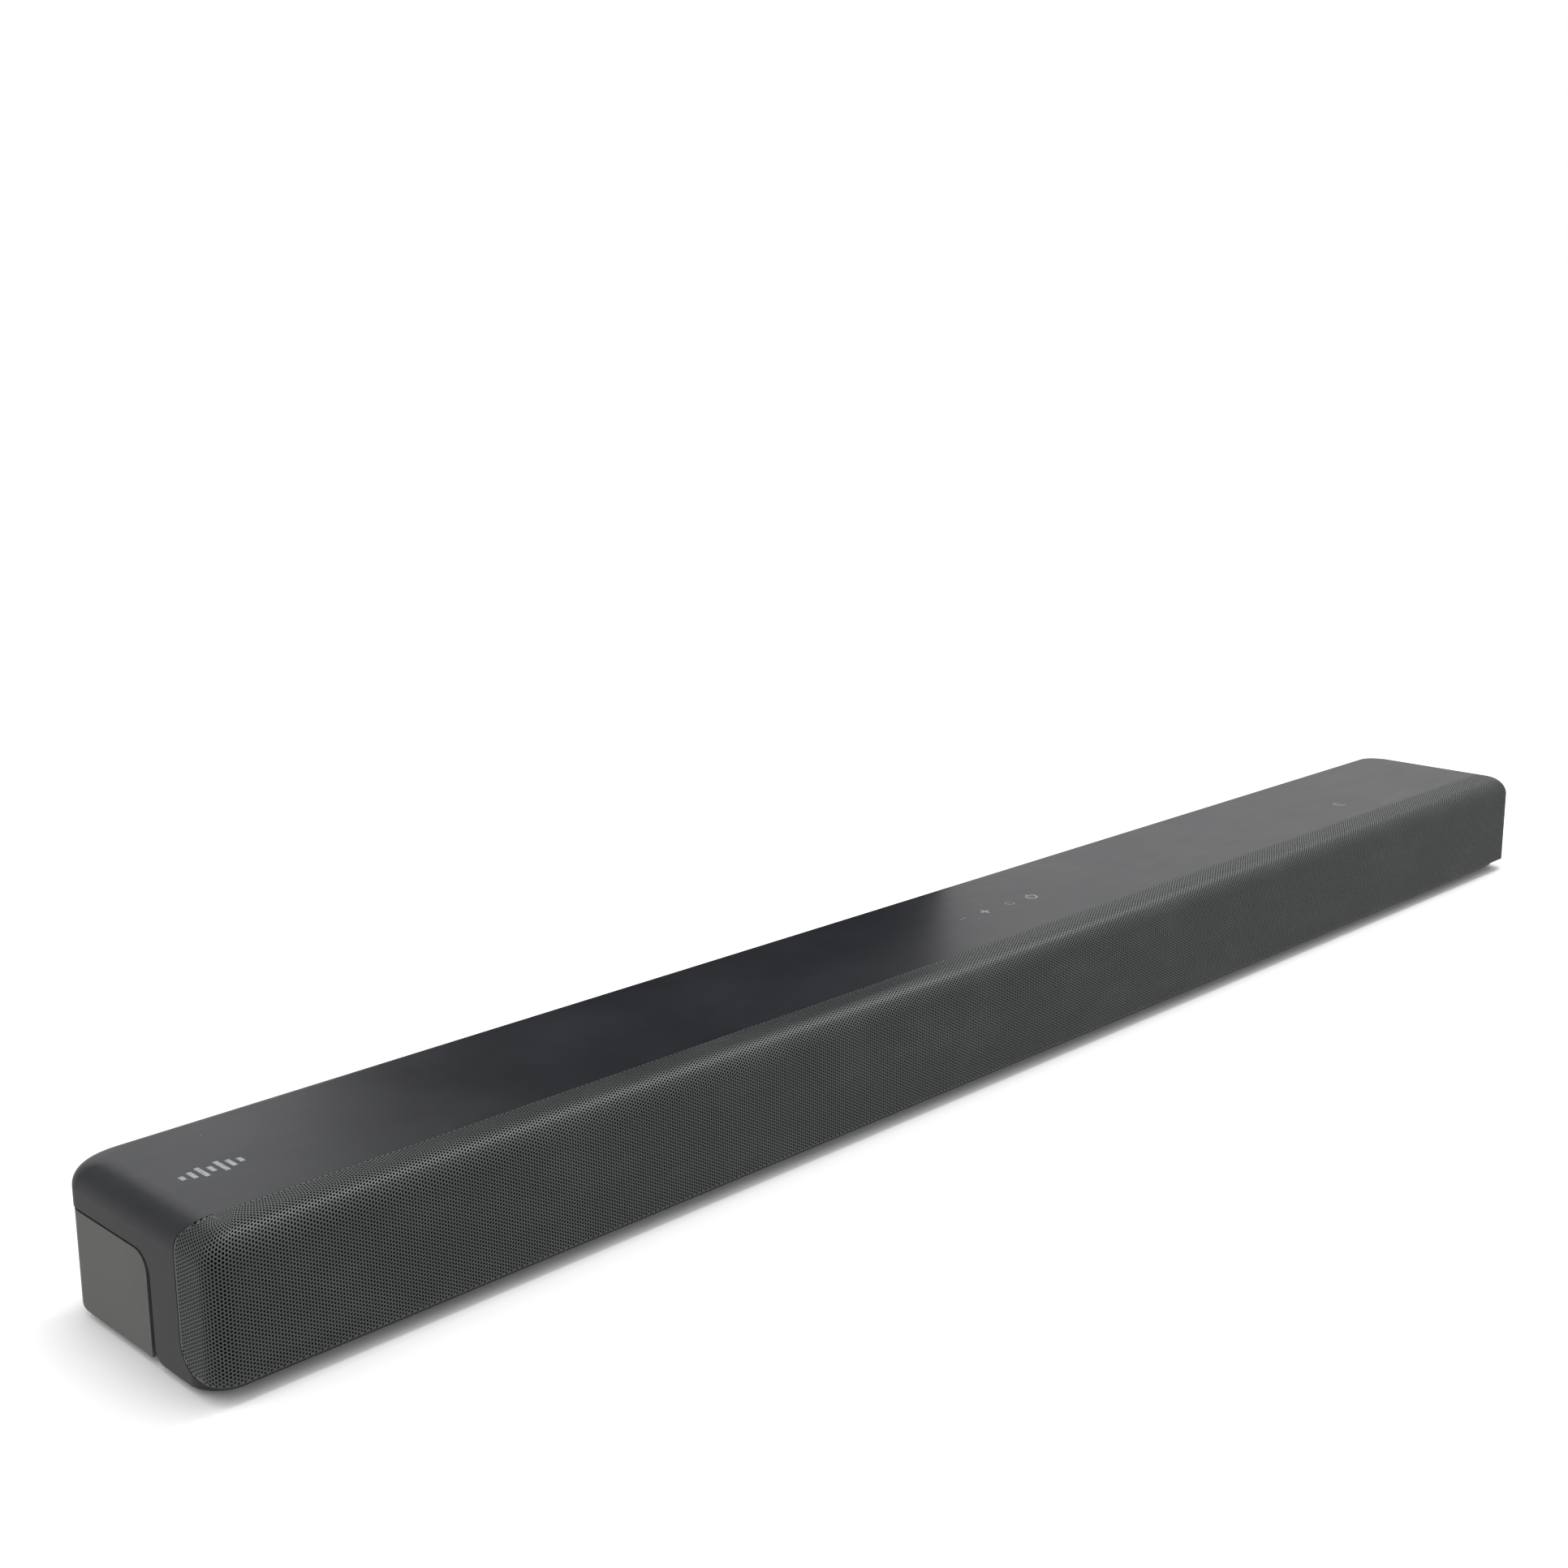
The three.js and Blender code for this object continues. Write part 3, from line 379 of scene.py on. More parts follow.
@dataclass(frozen=True)
class PaintedSheet(Finish):
    """Powder paint on thin steel: a fine orange peel and soft rub marks."""

    name: str
    colour: Colour
    roughness: float = 0.42

    def build(self, tree: ShaderTree) -> bpy.types.Material:
        """Fill the tree.

        Args:
            tree: an empty shader tree.

        Returns:
            The material.
        """
        peel = tree.noise(0.8, 2.0, 0.5)
        rub = tree.noise(26.0, 4.0, 0.6, (0.5, 1.0, 1.0))
        lighter = tuple(c * 1.5 for c in self.colour)
        return tree.principled(
            {
                "Base Color": tree.mix(rub.ramp(0.42, 0.72) * 0.45, self.colour, lighter),
                "Roughness": self.roughness + (rub - 0.5) * 0.14,
                "Normal": tree.bump(peel, 0.006),
            }
        )


@dataclass(frozen=True)
class Metal(Finish):
    """Plated or bare metal with fine directional lines."""

    name: str
    colour: Colour
    roughness: float = 0.3
    lines: Point3 = (0.1, 1.0, 1.0)

    def build(self, tree: ShaderTree) -> bpy.types.Material:
        """Fill the tree.

        Args:
            tree: an empty shader tree.

        Returns:
            The material.
        """
        lines = tree.noise(0.3, 3.0, 0.6, self.lines)
        stain = tree.noise(8.0, 3.0, 0.6)
        darker = tuple(c * 0.72 for c in self.colour)
        return tree.principled(
            {
                "Base Color": tree.mix(stain.ramp(0.45, 0.75) * 0.5, self.colour, darker),
                "Metallic": 1.0,
                "Roughness": self.roughness + (lines - 0.5) * 0.2,
                "Normal": tree.bump(lines, 0.004),
            }
        )


@dataclass(frozen=True)
class Mottled(Finish):
    """A dull or glossy material whose colour varies softly: paper, rubber, tape, board or acrylic."""

    name: str
    colour: Colour
    second: Colour
    roughness: float = 0.6
    size: float = 3.0
    depth: float = 0.02
    metallic: float = 0.0
    coat: float = 0.0

    def build(self, tree: ShaderTree) -> bpy.types.Material:
        """Fill the tree.

        Args:
            tree: an empty shader tree.

        Returns:
            The material.
        """
        cloud = tree.noise(self.size, 4.0, 0.6)
        fibre = tree.noise(self.size * 0.15, 3.0, 0.6)
        return tree.principled(
            {
                "Base Color": tree.mix(cloud.ramp(0.35, 0.7), self.colour, self.second),
                "Metallic": self.metallic,
                "Roughness": self.roughness + (cloud - 0.5) * 0.1,
                "Coat Weight": self.coat,
                "Coat Roughness": 0.08,
                "Normal": tree.bump(fibre, self.depth),
            }
        )


COVER = GrainedPlastic("cover_plastic", (0.0085, 0.0092, 0.0115), 0.38, 0.42, 0.014, 0.07, 0.9)
PANEL = GrainedPlastic("panel_plastic", (0.060, 0.064, 0.057), 0.38, 0.3, 0.008, 0.05, 0.6)
INNER_BLACK = GrainedPlastic("inner_black", (0.008, 0.008, 0.009), 0.6, 0.6, 0.02)
# Near-black for the lip behind the panel gaps: painted shade in the gaps, not the lip's own colour, which is
# the cabinet's.
GAP_SHADE_BLACK = GrainedPlastic("painted_gap_shade", (0.003, 0.003, 0.003), 0.9, 0.6, 0.02)
BOX_PLASTIC = GrainedPlastic("box_plastic", (0.014, 0.014, 0.015), 0.55, 0.8, 0.02)
GRILLE_PAINT = PaintedSheet("grille_paint", (0.044, 0.0465, 0.047), 0.4)
RUBBER = Mottled("rubber", (0.012, 0.012, 0.012), (0.02, 0.02, 0.019), 0.8, 4.0, 0.03)
CONE_PAPER = Mottled("cone_paper", (0.016, 0.016, 0.017), (0.028, 0.028, 0.027), 0.85, 1.4, 0.06)
SPIDER_CLOTH = Mottled("spider_cloth", (0.34, 0.2, 0.07), (0.25, 0.14, 0.05), 0.9, 0.9, 0.08)
COPPER = Metal("copper_wire", (0.7, 0.3, 0.15), 0.35, (8.0, 0.4, 8.0))
STEEL = Metal("zinc_steel", (0.55, 0.56, 0.57), 0.36)
PHOSPHATE = Metal("phosphated_plate", (0.16, 0.16, 0.165), 0.42)
DARK_STEEL = Metal("black_screw", (0.05, 0.05, 0.055), 0.4)
NICKEL = Metal("nickel_shell", (0.62, 0.61, 0.58), 0.25)
GOLD = Metal("gilt_contact", (0.85, 0.6, 0.25), 0.25)
ALUMINIUM = Metal("aluminium", (0.6, 0.61, 0.62), 0.38, (0.05, 1.0, 1.0))
FERRITE = Mottled("ferrite", (0.03, 0.03, 0.033), (0.05, 0.05, 0.052), 0.7, 2.0, 0.04)
SMOKED = Mottled("smoked_window", (0.006, 0.006, 0.007), (0.009, 0.009, 0.01), 0.12, 30.0, 0.001, 0.0, 0.6)
BOARD = Mottled("circuit_board", (0.01, 0.09, 0.035), (0.014, 0.12, 0.045), 0.38, 5.0, 0.02, 0.0, 0.3)
TAPE = Mottled("winding_tape", (0.5, 0.34, 0.03), (0.42, 0.28, 0.03), 0.4, 6.0, 0.01, 0.0, 0.2)
SLEEVE = Mottled("capacitor_sleeve", (0.02, 0.025, 0.06), (0.024, 0.03, 0.07), 0.25, 12.0, 0.003)
LOOM = Mottled("loom_sleeve", (0.016, 0.016, 0.018), (0.03, 0.03, 0.03), 0.6, 1.2, 0.05)
PRINT = Mottled("printed_mark", (0.25, 0.26, 0.27), (0.17, 0.18, 0.19), 0.5, 1.5, 0.002)
FAINT_PRINT = Mottled("faint_mark", (0.11, 0.113, 0.116), (0.08, 0.083, 0.086), 0.5, 1.5, 0.002)
GREY_LENS = Mottled("shutter_grey", (0.035, 0.035, 0.037), (0.05, 0.05, 0.052), 0.5, 2.0, 0.01)
FLOOR_PAPER = Mottled("floor_paper", (0.82, 0.82, 0.82), (0.81, 0.81, 0.81), 0.95, 400.0, 0.0)
CARD_BLACK = Mottled("card_black", (0.006, 0.007, 0.011), (0.008, 0.009, 0.013), 0.8, 40.0, 0.0)
CARD_GREY = Mottled("card_grey", (0.40, 0.40, 0.415), (0.37, 0.37, 0.385), 0.8, 40.0, 0.0)


# ---- Mesh tools ---------------------------------------------------------------------------------------


def mesh_piece(
    name: str, points: Sequence[Sequence[float]] | np.ndarray, faces: Iterable[Sequence[int]]
) -> bpy.types.Object:
    """Make a mesh object from places in millimetres.

    Args:
        name: the object's name.
        points: the vertices.
        faces: the vertices of each face, in order.

    Returns:
        The object, at the origin.
    """
    mesh = bpy.data.meshes.new(name)
    mesh.from_pydata((np.asarray(points, float) * MM).tolist(), [], [tuple(f) for f in faces])
    piece = bpy.data.objects.new(name, mesh)
    bpy.context.scene.collection.objects.link(piece)
    return piece


def settled(piece: bpy.types.Object) -> bpy.types.Object:
    """Turn a piece's modifiers into plain mesh.

    Args:
        piece: the object, with its modifiers.

    Returns:
        The same object, without modifiers.
    """
    graph = bpy.context.evaluated_depsgraph_get()
    graph.update()
    made = bpy.data.meshes.new_from_object(
        piece.evaluated_get(graph), preserve_all_data_layers=True, depsgraph=graph
    )
    old = piece.data
    piece.modifiers.clear()
    piece.data = made
    made.name = piece.name
    bpy.data.meshes.remove(old)
    return piece


def rewind(piece: bpy.types.Object, tidy: float = 0.0) -> bpy.types.Object:
    """Merge a piece's doubles and point its faces outwards.

    Args:
        piece: a closed mesh.
        tidy: the longest edge in millimetres that is closed up, or 0.

    Returns:
        The same object.
    """
    work = bmesh.new()
    work.from_mesh(piece.data)
    bmesh.ops.remove_doubles(work, verts=work.verts, dist=max(tidy, 0.0005) * MM)
    bmesh.ops.dissolve_degenerate(work, edges=work.edges, dist=0.001 * MM)
    bmesh.ops.recalc_face_normals(work, faces=work.faces)
    work.to_mesh(piece.data)
    work.free()
    return piece


def combine(
    base: bpy.types.Object, operation: str, others: Sequence[bpy.types.Object]
) -> bpy.types.Object:
    """Cut, join or intersect a closed piece with others, which are used up.

    Args:
        base: the piece that changes.
        operation: DIFFERENCE, UNION or INTERSECT.
        others: the closed pieces that it is combined with.

    Returns:
        The base.
    """
    for other in others:
        modifier = base.modifiers.new("combine", "BOOLEAN")
        modifier.solver = "MANIFOLD"
        modifier.operation = operation
        modifier.object = other
        settled(base)
        mesh = other.data
        bpy.data.objects.remove(other)
        bpy.data.meshes.remove(mesh)
    return base


def softened(piece: bpy.types.Object, width: float, angle: float = 38.0) -> bpy.types.Object:
    """Round a piece's sharp edges a little and shade it smooth.

    Args:
        piece: the object.
        width: the width of the rounding in millimetres.
        angle: edges sharper than this many degrees are rounded.

    Returns:
        The same object.
    """
    rewind(piece, 0.02)
    if width > 0:
        bevel = piece.modifiers.new("soften", "BEVEL")
        bevel.width = width * MM
        bevel.segments = 2
        bevel.limit_method = "ANGLE"
        bevel.angle_limit = math.radians(angle)
        bevel.use_clamp_overlap = True
        bevel.loop_slide = False
        settled(piece)
    return shaded(piece)


def shaded(piece: bpy.types.Object, angle: float = 35.0) -> bpy.types.Object:
    """Shade a piece smooth, except across edges sharper than an angle, with normals led by its large faces.

    Args:
        piece: the object.
        angle: the angle in degrees.

    Returns:
        The same object.
    """
    piece.data.shade_smooth()
    piece.data.set_sharp_from_angle(angle=math.radians(angle))
    weigh = piece.modifiers.new("weigh", "WEIGHTED_NORMAL")
    weigh.keep_sharp = True
    weigh.weight = 90
    return settled(piece)


def rounded_outline(corners: Sequence[tuple[float, float, float]], steps: int = 12) -> list[Point2]:
    """Draw an outline with round corners.

    Args:
        corners: (across, up, radius) for each corner, in order.
        steps: the flats in a corner.

    Returns:
        The outline's points.
    """
    points: list[Point2] = []
    count = len(corners)
    for k, (x, y, radius) in enumerate(corners):
        here = Vector((x, y))
        back = (Vector(corners[k - 1][:2]) - here).normalized()
        on = (Vector(corners[(k + 1) % count][:2]) - here).normalized()
        if radius <= 0:
            points.append((x, y))
            continue
        half = math.acos(max(-1.0, min(1.0, back.dot(on)))) / 2
        centre = here + (back + on).normalized() * (radius / math.sin(half))
        start = here + back * (radius / math.tan(half)) - centre
        end = here + on * (radius / math.tan(half)) - centre
        first = math.atan2(start.y, start.x)
        turn = math.atan2(start.x * end.y - start.y * end.x, start.dot(end))
        for step in range(steps + 1):
            angle = first + turn * step / steps
            points.append((centre.x + radius * math.cos(angle), centre.y + radius * math.sin(angle)))
    return points


def prism(
    name: str,
    section: Sequence[Point2],
    low: float,
    high: float,
    place: Callable[[float, float, float], Point3],
) -> bpy.types.Object:
    """Run an outline along an axis.

    Args:
        name: the object's name.
        section: the outline's points.
        low: where the run starts.
        high: where it ends.
        place: turns (across, up, along) into a place.

    Returns:
        A closed piece.
    """
    count = len(section)
    points = [place(a, b, at) for at in (low, high) for a, b in section]
    faces = [[k, (k + 1) % count, count + (k + 1) % count, count + k] for k in range(count)]
    faces += [list(range(count))[::-1], [count + k for k in range(count)]]
    return rewind(mesh_piece(name, points, faces))


def along_x(name: str, section: Sequence[Point2], low: float, high: float) -> bpy.types.Object:
    """Run an outline in (y, z) along X. The arguments are those of prism."""
    return prism(name, section, low, high, lambda a, b, at: (at, a, b))


def along_y(name: str, section: Sequence[Point2], low: float, high: float) -> bpy.types.Object:
    """Run an outline in (x, z) along Y. The arguments are those of prism."""
    return prism(name, section, low, high, lambda a, b, at: (a, at, b))


def along_z(name: str, section: Sequence[Point2], low: float, high: float) -> bpy.types.Object:
    """Run an outline in (x, y) along Z. The arguments are those of prism."""
    return prism(name, section, low, high, lambda a, b, at: (a, b, at))


def block(name: str, low: Point3, high: Point3) -> bpy.types.Object:
    """A box between two corners, as a tool for cuts and joins."""
    corners = [(low[0], low[1]), (high[0], low[1]), (high[0], high[1]), (low[0], high[1])]
    return along_z(name, corners, low[2], high[2])


def inside(outline: Sequence[Point2], x: float, y: float) -> bool:
    """Whether a place lies inside an outline."""
    hit = False
    for k, (x0, y0) in enumerate(outline):
        x1, y1 = outline[k - 1]
        if (y0 > y) != (y1 > y) and x < (x1 - x0) * (y - y0) / (y1 - y0) + x0:
            hit = not hit
    return hit


def nearest_on(outline: Sequence[Point2], x: float, y: float) -> tuple[float, float, float]:
    """The nearest place on an outline.

    Args:
        outline: the outline's points.
        x: the place's first coordinate.
        y: its second.

    Returns:
        The nearest place's two coordinates and its distance.
    """
    best = (x, y, math.inf)
    for k, (x0, y0) in enumerate(outline):
        x1, y1 = outline[k - 1]
        run = (x1 - x0) ** 2 + (y1 - y0) ** 2
        share = max(0.0, min(1.0, ((x - x0) * (x1 - x0) + (y - y0) * (y1 - y0)) / run)) if run else 0.0
        a, b = x0 + (x1 - x0) * share, y0 + (y1 - y0) * share
        apart = math.hypot(a - x, b - y)
        if apart < best[2]:
            best = (a, b, apart)
    return best


def circle_outline(x: float, y: float, radius: float, sides: int = 32) -> list[Point2]:
    """The points of a circle."""
    turn = 2 * math.pi / sides
    return [(x + radius * math.cos(k * turn), y + radius * math.sin(k * turn)) for k in range(sides)]


def skin(name: str, rings: Sequence[Sequence[Point3]], closed: bool = False) -> bpy.types.Object:
    """Skin a solid over rings of equal point count.

    Args:
        name: the object's name.
        rings: the rings, each a closed loop.
        closed: True joins the last ring to the first, False caps both.

    Returns:
        A closed piece.
    """
    count = len(rings[0])
    points = [p for ring in rings for p in ring]
    faces = []
    for r in range(len(rings) if closed else len(rings) - 1):
        low, high = r * count, ((r + 1) % len(rings)) * count
        for k in range(count):
            faces.append([low + k, low + (k + 1) % count, high + (k + 1) % count, high + k])
    if not closed:
        faces.append(list(range(count))[::-1])
        faces.append([(len(rings) - 1) * count + k for k in range(count)])
    return rewind(mesh_piece(name, points, faces))


def dress(
    piece: bpy.types.Object,
    finish: Finish,
    body: str | None = CHASSIS,
    slot: Slot | None = None,
    replaces: Sequence[str] = (),
) -> bpy.types.Object:
    """Give a piece its finish and tie it to the frame.

    Args:
        piece: the object, in place.
        finish: its finish.
        body: the CAD body that it moves with, or None if the caller ties it.
        slot: the record's material slot, if it has one; not used.
        replaces: the CAD nodes that it stands for.

    Returns:
        The same object.
    """
    piece.data.materials.clear()
    piece.data.materials.append(finish.material())
    if body:
        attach(piece, body)
    if replaces:
        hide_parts(*replaces)
    LOG.info("%s: %d faces, %s", piece.name, len(piece.data.polygons), finish.name)
    return piece


# ---- Geometry Nodes -----------------------------------------------------------------------------------


class NodeTree:
    """A Geometry Nodes tree with named inputs."""

    def __init__(self, name: str, numbers: dict[str, float]) -> None:
        """Start a tree.

        Args:
            name: the tree's name.
            numbers: its number inputs, with their usual values.
        """
        self.tree = bpy.data.node_groups.new(name, "GeometryNodeTree")
        face = self.tree.interface
        face.new_socket("Geometry", in_out="INPUT", socket_type="NodeSocketGeometry")
        face.new_socket("Geometry", in_out="OUTPUT", socket_type="NodeSocketGeometry")
        self.ids: dict[str, str] = {}
        for key, value in numbers.items():
            socket = face.new_socket(key, in_out="INPUT", socket_type="NodeSocketFloat")
            socket.default_value = value
            self.ids[key] = socket.identifier
        for key, kind in (("Piece", "NodeSocketObject"), ("Finish", "NodeSocketMaterial")):
            self.ids[key] = face.new_socket(key, in_out="INPUT", socket_type=kind).identifier
        self.start = self.tree.nodes.new("NodeGroupInput")
        self.end = self.tree.nodes.new("NodeGroupOutput")

    def node(
        self,
        kind: str,
        settings: dict[str, object] | None = None,
        inputs: dict[str | int, object] | None = None,
    ) -> bpy.types.Node:
        """Make one node.

        Args:
            kind: the node's type.
            settings: the node's own properties, set first.
            inputs: a value or an output socket for each input.

        Returns:
            The node.
        """
        node = self.tree.nodes.new(kind)
        for key, value in (settings or {}).items():
            setattr(node, key, value)
        for key, value in (inputs or {}).items():
            if isinstance(value, bpy.types.NodeSocket):
                self.tree.links.new(value, node.inputs[key])
            else:
                node.inputs[key].default_value = value
        return node

    def close(self, geometry: bpy.types.NodeSocket) -> None:
        """End the tree in Realize Instances and Set Material.

        Args:
            geometry: what the tree has made.
        """
        real = self.node("GeometryNodeRealizeInstances", {}, {"Geometry": geometry})
        finish = self.node(
            "GeometryNodeSetMaterial",
            {},
            {"Geometry": real.outputs[0], "Material": self.start.outputs["Finish"]},
        )
        self.tree.links.new(finish.outputs[0], self.end.inputs[0])

    def run(self, piece: bpy.types.Object, values: dict[str, object]) -> bpy.types.Object:
        """Run the tree on a piece and keep the result as plain mesh.

        Args:
            piece: the object that the tree starts from.
            values: a value for each named input.

        Returns:
            The same object.
        """
        modifier = piece.modifiers.new("nodes", "NODES")
        modifier.node_group = self.tree
        for key, value in values.items():
            modifier[self.ids[key]] = value
        return settled(piece)


class Perforator(NodeTree):
    """Opens a hole in the middle of every face that is marked perforated."""

    def __init__(self) -> None:
        """Build the tree."""
        super().__init__("perforate", {"Hole Share": 0.66})
        marked = self.node(
            "GeometryNodeInputNamedAttribute", {"data_type": "BOOLEAN"}, {"Name": "perforated"}
        )
        raised = self.node(
            "GeometryNodeExtrudeMesh",
            {"mode": "FACES"},
            {
                "Mesh": self.start.outputs["Geometry"],
                "Selection": marked.outputs["Attribute"],
                "Offset Scale": 0.0,
                "Individual": True,
            },
        )
        shrunk = self.node(
            "GeometryNodeScaleElements",
            {"domain": "FACE"},
            {
                "Geometry": raised.outputs["Mesh"],
                "Selection": raised.outputs["Top"],
                "Scale": self.start.outputs["Hole Share"],
            },
        )
        opened = self.node(
            "GeometryNodeDeleteGeometry",
            {"domain": "FACE"},
            {"Geometry": shrunk.outputs["Geometry"], "Selection": raised.outputs["Top"]},
        )
        self.close(opened.outputs["Geometry"])


class Scatter(NodeTree):
    """Puts a copy of a piece on every point, turned by the point's own angles."""

    def __init__(self) -> None:
        """Build the tree."""
        super().__init__("scatter", {"Size": 1.0})
        turn = self.node(
            "GeometryNodeInputNamedAttribute", {"data_type": "FLOAT_VECTOR"}, {"Name": "turn"}
        )
        shape = self.node(
            "GeometryNodeObjectInfo",
            {"transform_space": "ORIGINAL"},
            {"Object": self.start.outputs["Piece"], "As Instance": True},
        )
        placed = self.node(
            "GeometryNodeInstanceOnPoints",
            {},
            {
                "Points": self.start.outputs["Geometry"],
                "Instance": shape.outputs["Geometry"],
                "Rotation": turn.outputs["Attribute"],
                "Scale": self.start.outputs["Size"],
            },
        )
        self.close(placed.outputs["Instances"])


# ---- Casing -------------------------------------------------------------------------------------------


@dataclass
class BarForm:
    """The bar's outer form: upright walls with round corners and a blended round along every top edge."""

    end: float
    front: float
    rear: float
    top: float
    end_round: float = 12.2
    front_round: float = 12.0
    rear_round: float = 9.3
    front_corner: float = 9.5
    rear_corner: float = 8.0
    top_front_corner: float = 4.0
    top_rear_corner: float = 15.0
    steps: int = 12

    @classmethod
    def of_frame(cls) -> BarForm:
        """Take the form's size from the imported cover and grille."""
        low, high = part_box("top_cover")
        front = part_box("front_grille")[0].y / MM
        return cls(end=high.x / MM, front=front, rear=high.y / MM, top=high.z / MM)

    @staticmethod
    def bearing(right: bool, rear: bool, share: float) -> float:
        """The way out of a corner of the plan, in radians. The arguments are those of corner."""
        start = {(True, False): -90.0, (True, True): 0.0, (False, True): 90.0, (False, False): 180.0}
        return math.radians(start[right, rear] + 90 * share)

    def corner(self, right: bool, rear: bool, share: float) -> tuple[Point2, Point2, float]:
        """One place on a corner of the plan.

        Args:
            right: True for the right-hand end.
            rear: True for the rear.
            share: 0 at the start of the corner and 1 at its end, anticlockwise seen from above.

        Returns:
            The place on the wall, the place where the top edge's round ends, and the round's radius.
        """
        side = 1 if right else -1
        depth = 1 if rear else -1
        wall = self.rear_corner if rear else self.front_corner
        flat = self.top_rear_corner if rear else self.top_front_corner
        edge = self.rear_round if rear else self.front_round
        angle = self.bearing(right, rear, share)
        c, s = math.cos(angle), math.sin(angle)
        face = self.rear if rear else -self.front
        p = (side * (self.end - wall) + wall * c, depth * (face - wall) + wall * s)
        q = (
            side * (self.end - self.end_round - flat) + flat * c,
            depth * (face - edge - flat) + flat * s,
        )
        toward_end = abs(c) ** 2
        return p, q, self.end_round * toward_end + edge * (1 - toward_end)

    def solid(self, name: str, inset: float, bottom: float) -> bpy.types.Object:
        """The form as a closed solid, set in by a distance.

        Args:
            name: the object's name.
            inset: how far every wall and the top are set in, in millimetres.
            bottom: the height of its flat underside.

        Returns:
            The solid.
        """
        plan = []
        for right, rear in ((True, False), (True, True), (False, True), (False, False)):
            for k in range(self.steps + 1):
                plan.append((right, rear, k / self.steps))
        base, ring = [], []
        for right, rear, share in plan:
            p, q, radius = self.corner(right, rear, share)
            angle = self.bearing(right, rear, share)
            p = (p[0] - inset * math.cos(angle), p[1] - inset * math.sin(angle))
            base.append((p[0], p[1], bottom))
            ring.append((p, q, radius - inset))
        rings = [base]
        top = self.top - inset
        for k in range(self.steps + 1):
            turn = math.radians(90 * k / self.steps)
            level = []
            for p, q, radius in ring:
                level.append(
                    (
                        p[0] + (q[0] - p[0]) * (1 - math.cos(turn)),
                        p[1] + (q[1] - p[1]) * (1 - math.cos(turn)),
                        top - radius * (1 - math.sin(turn)),
                    )
                )
            rings.append(level)
        return skin(name, rings)


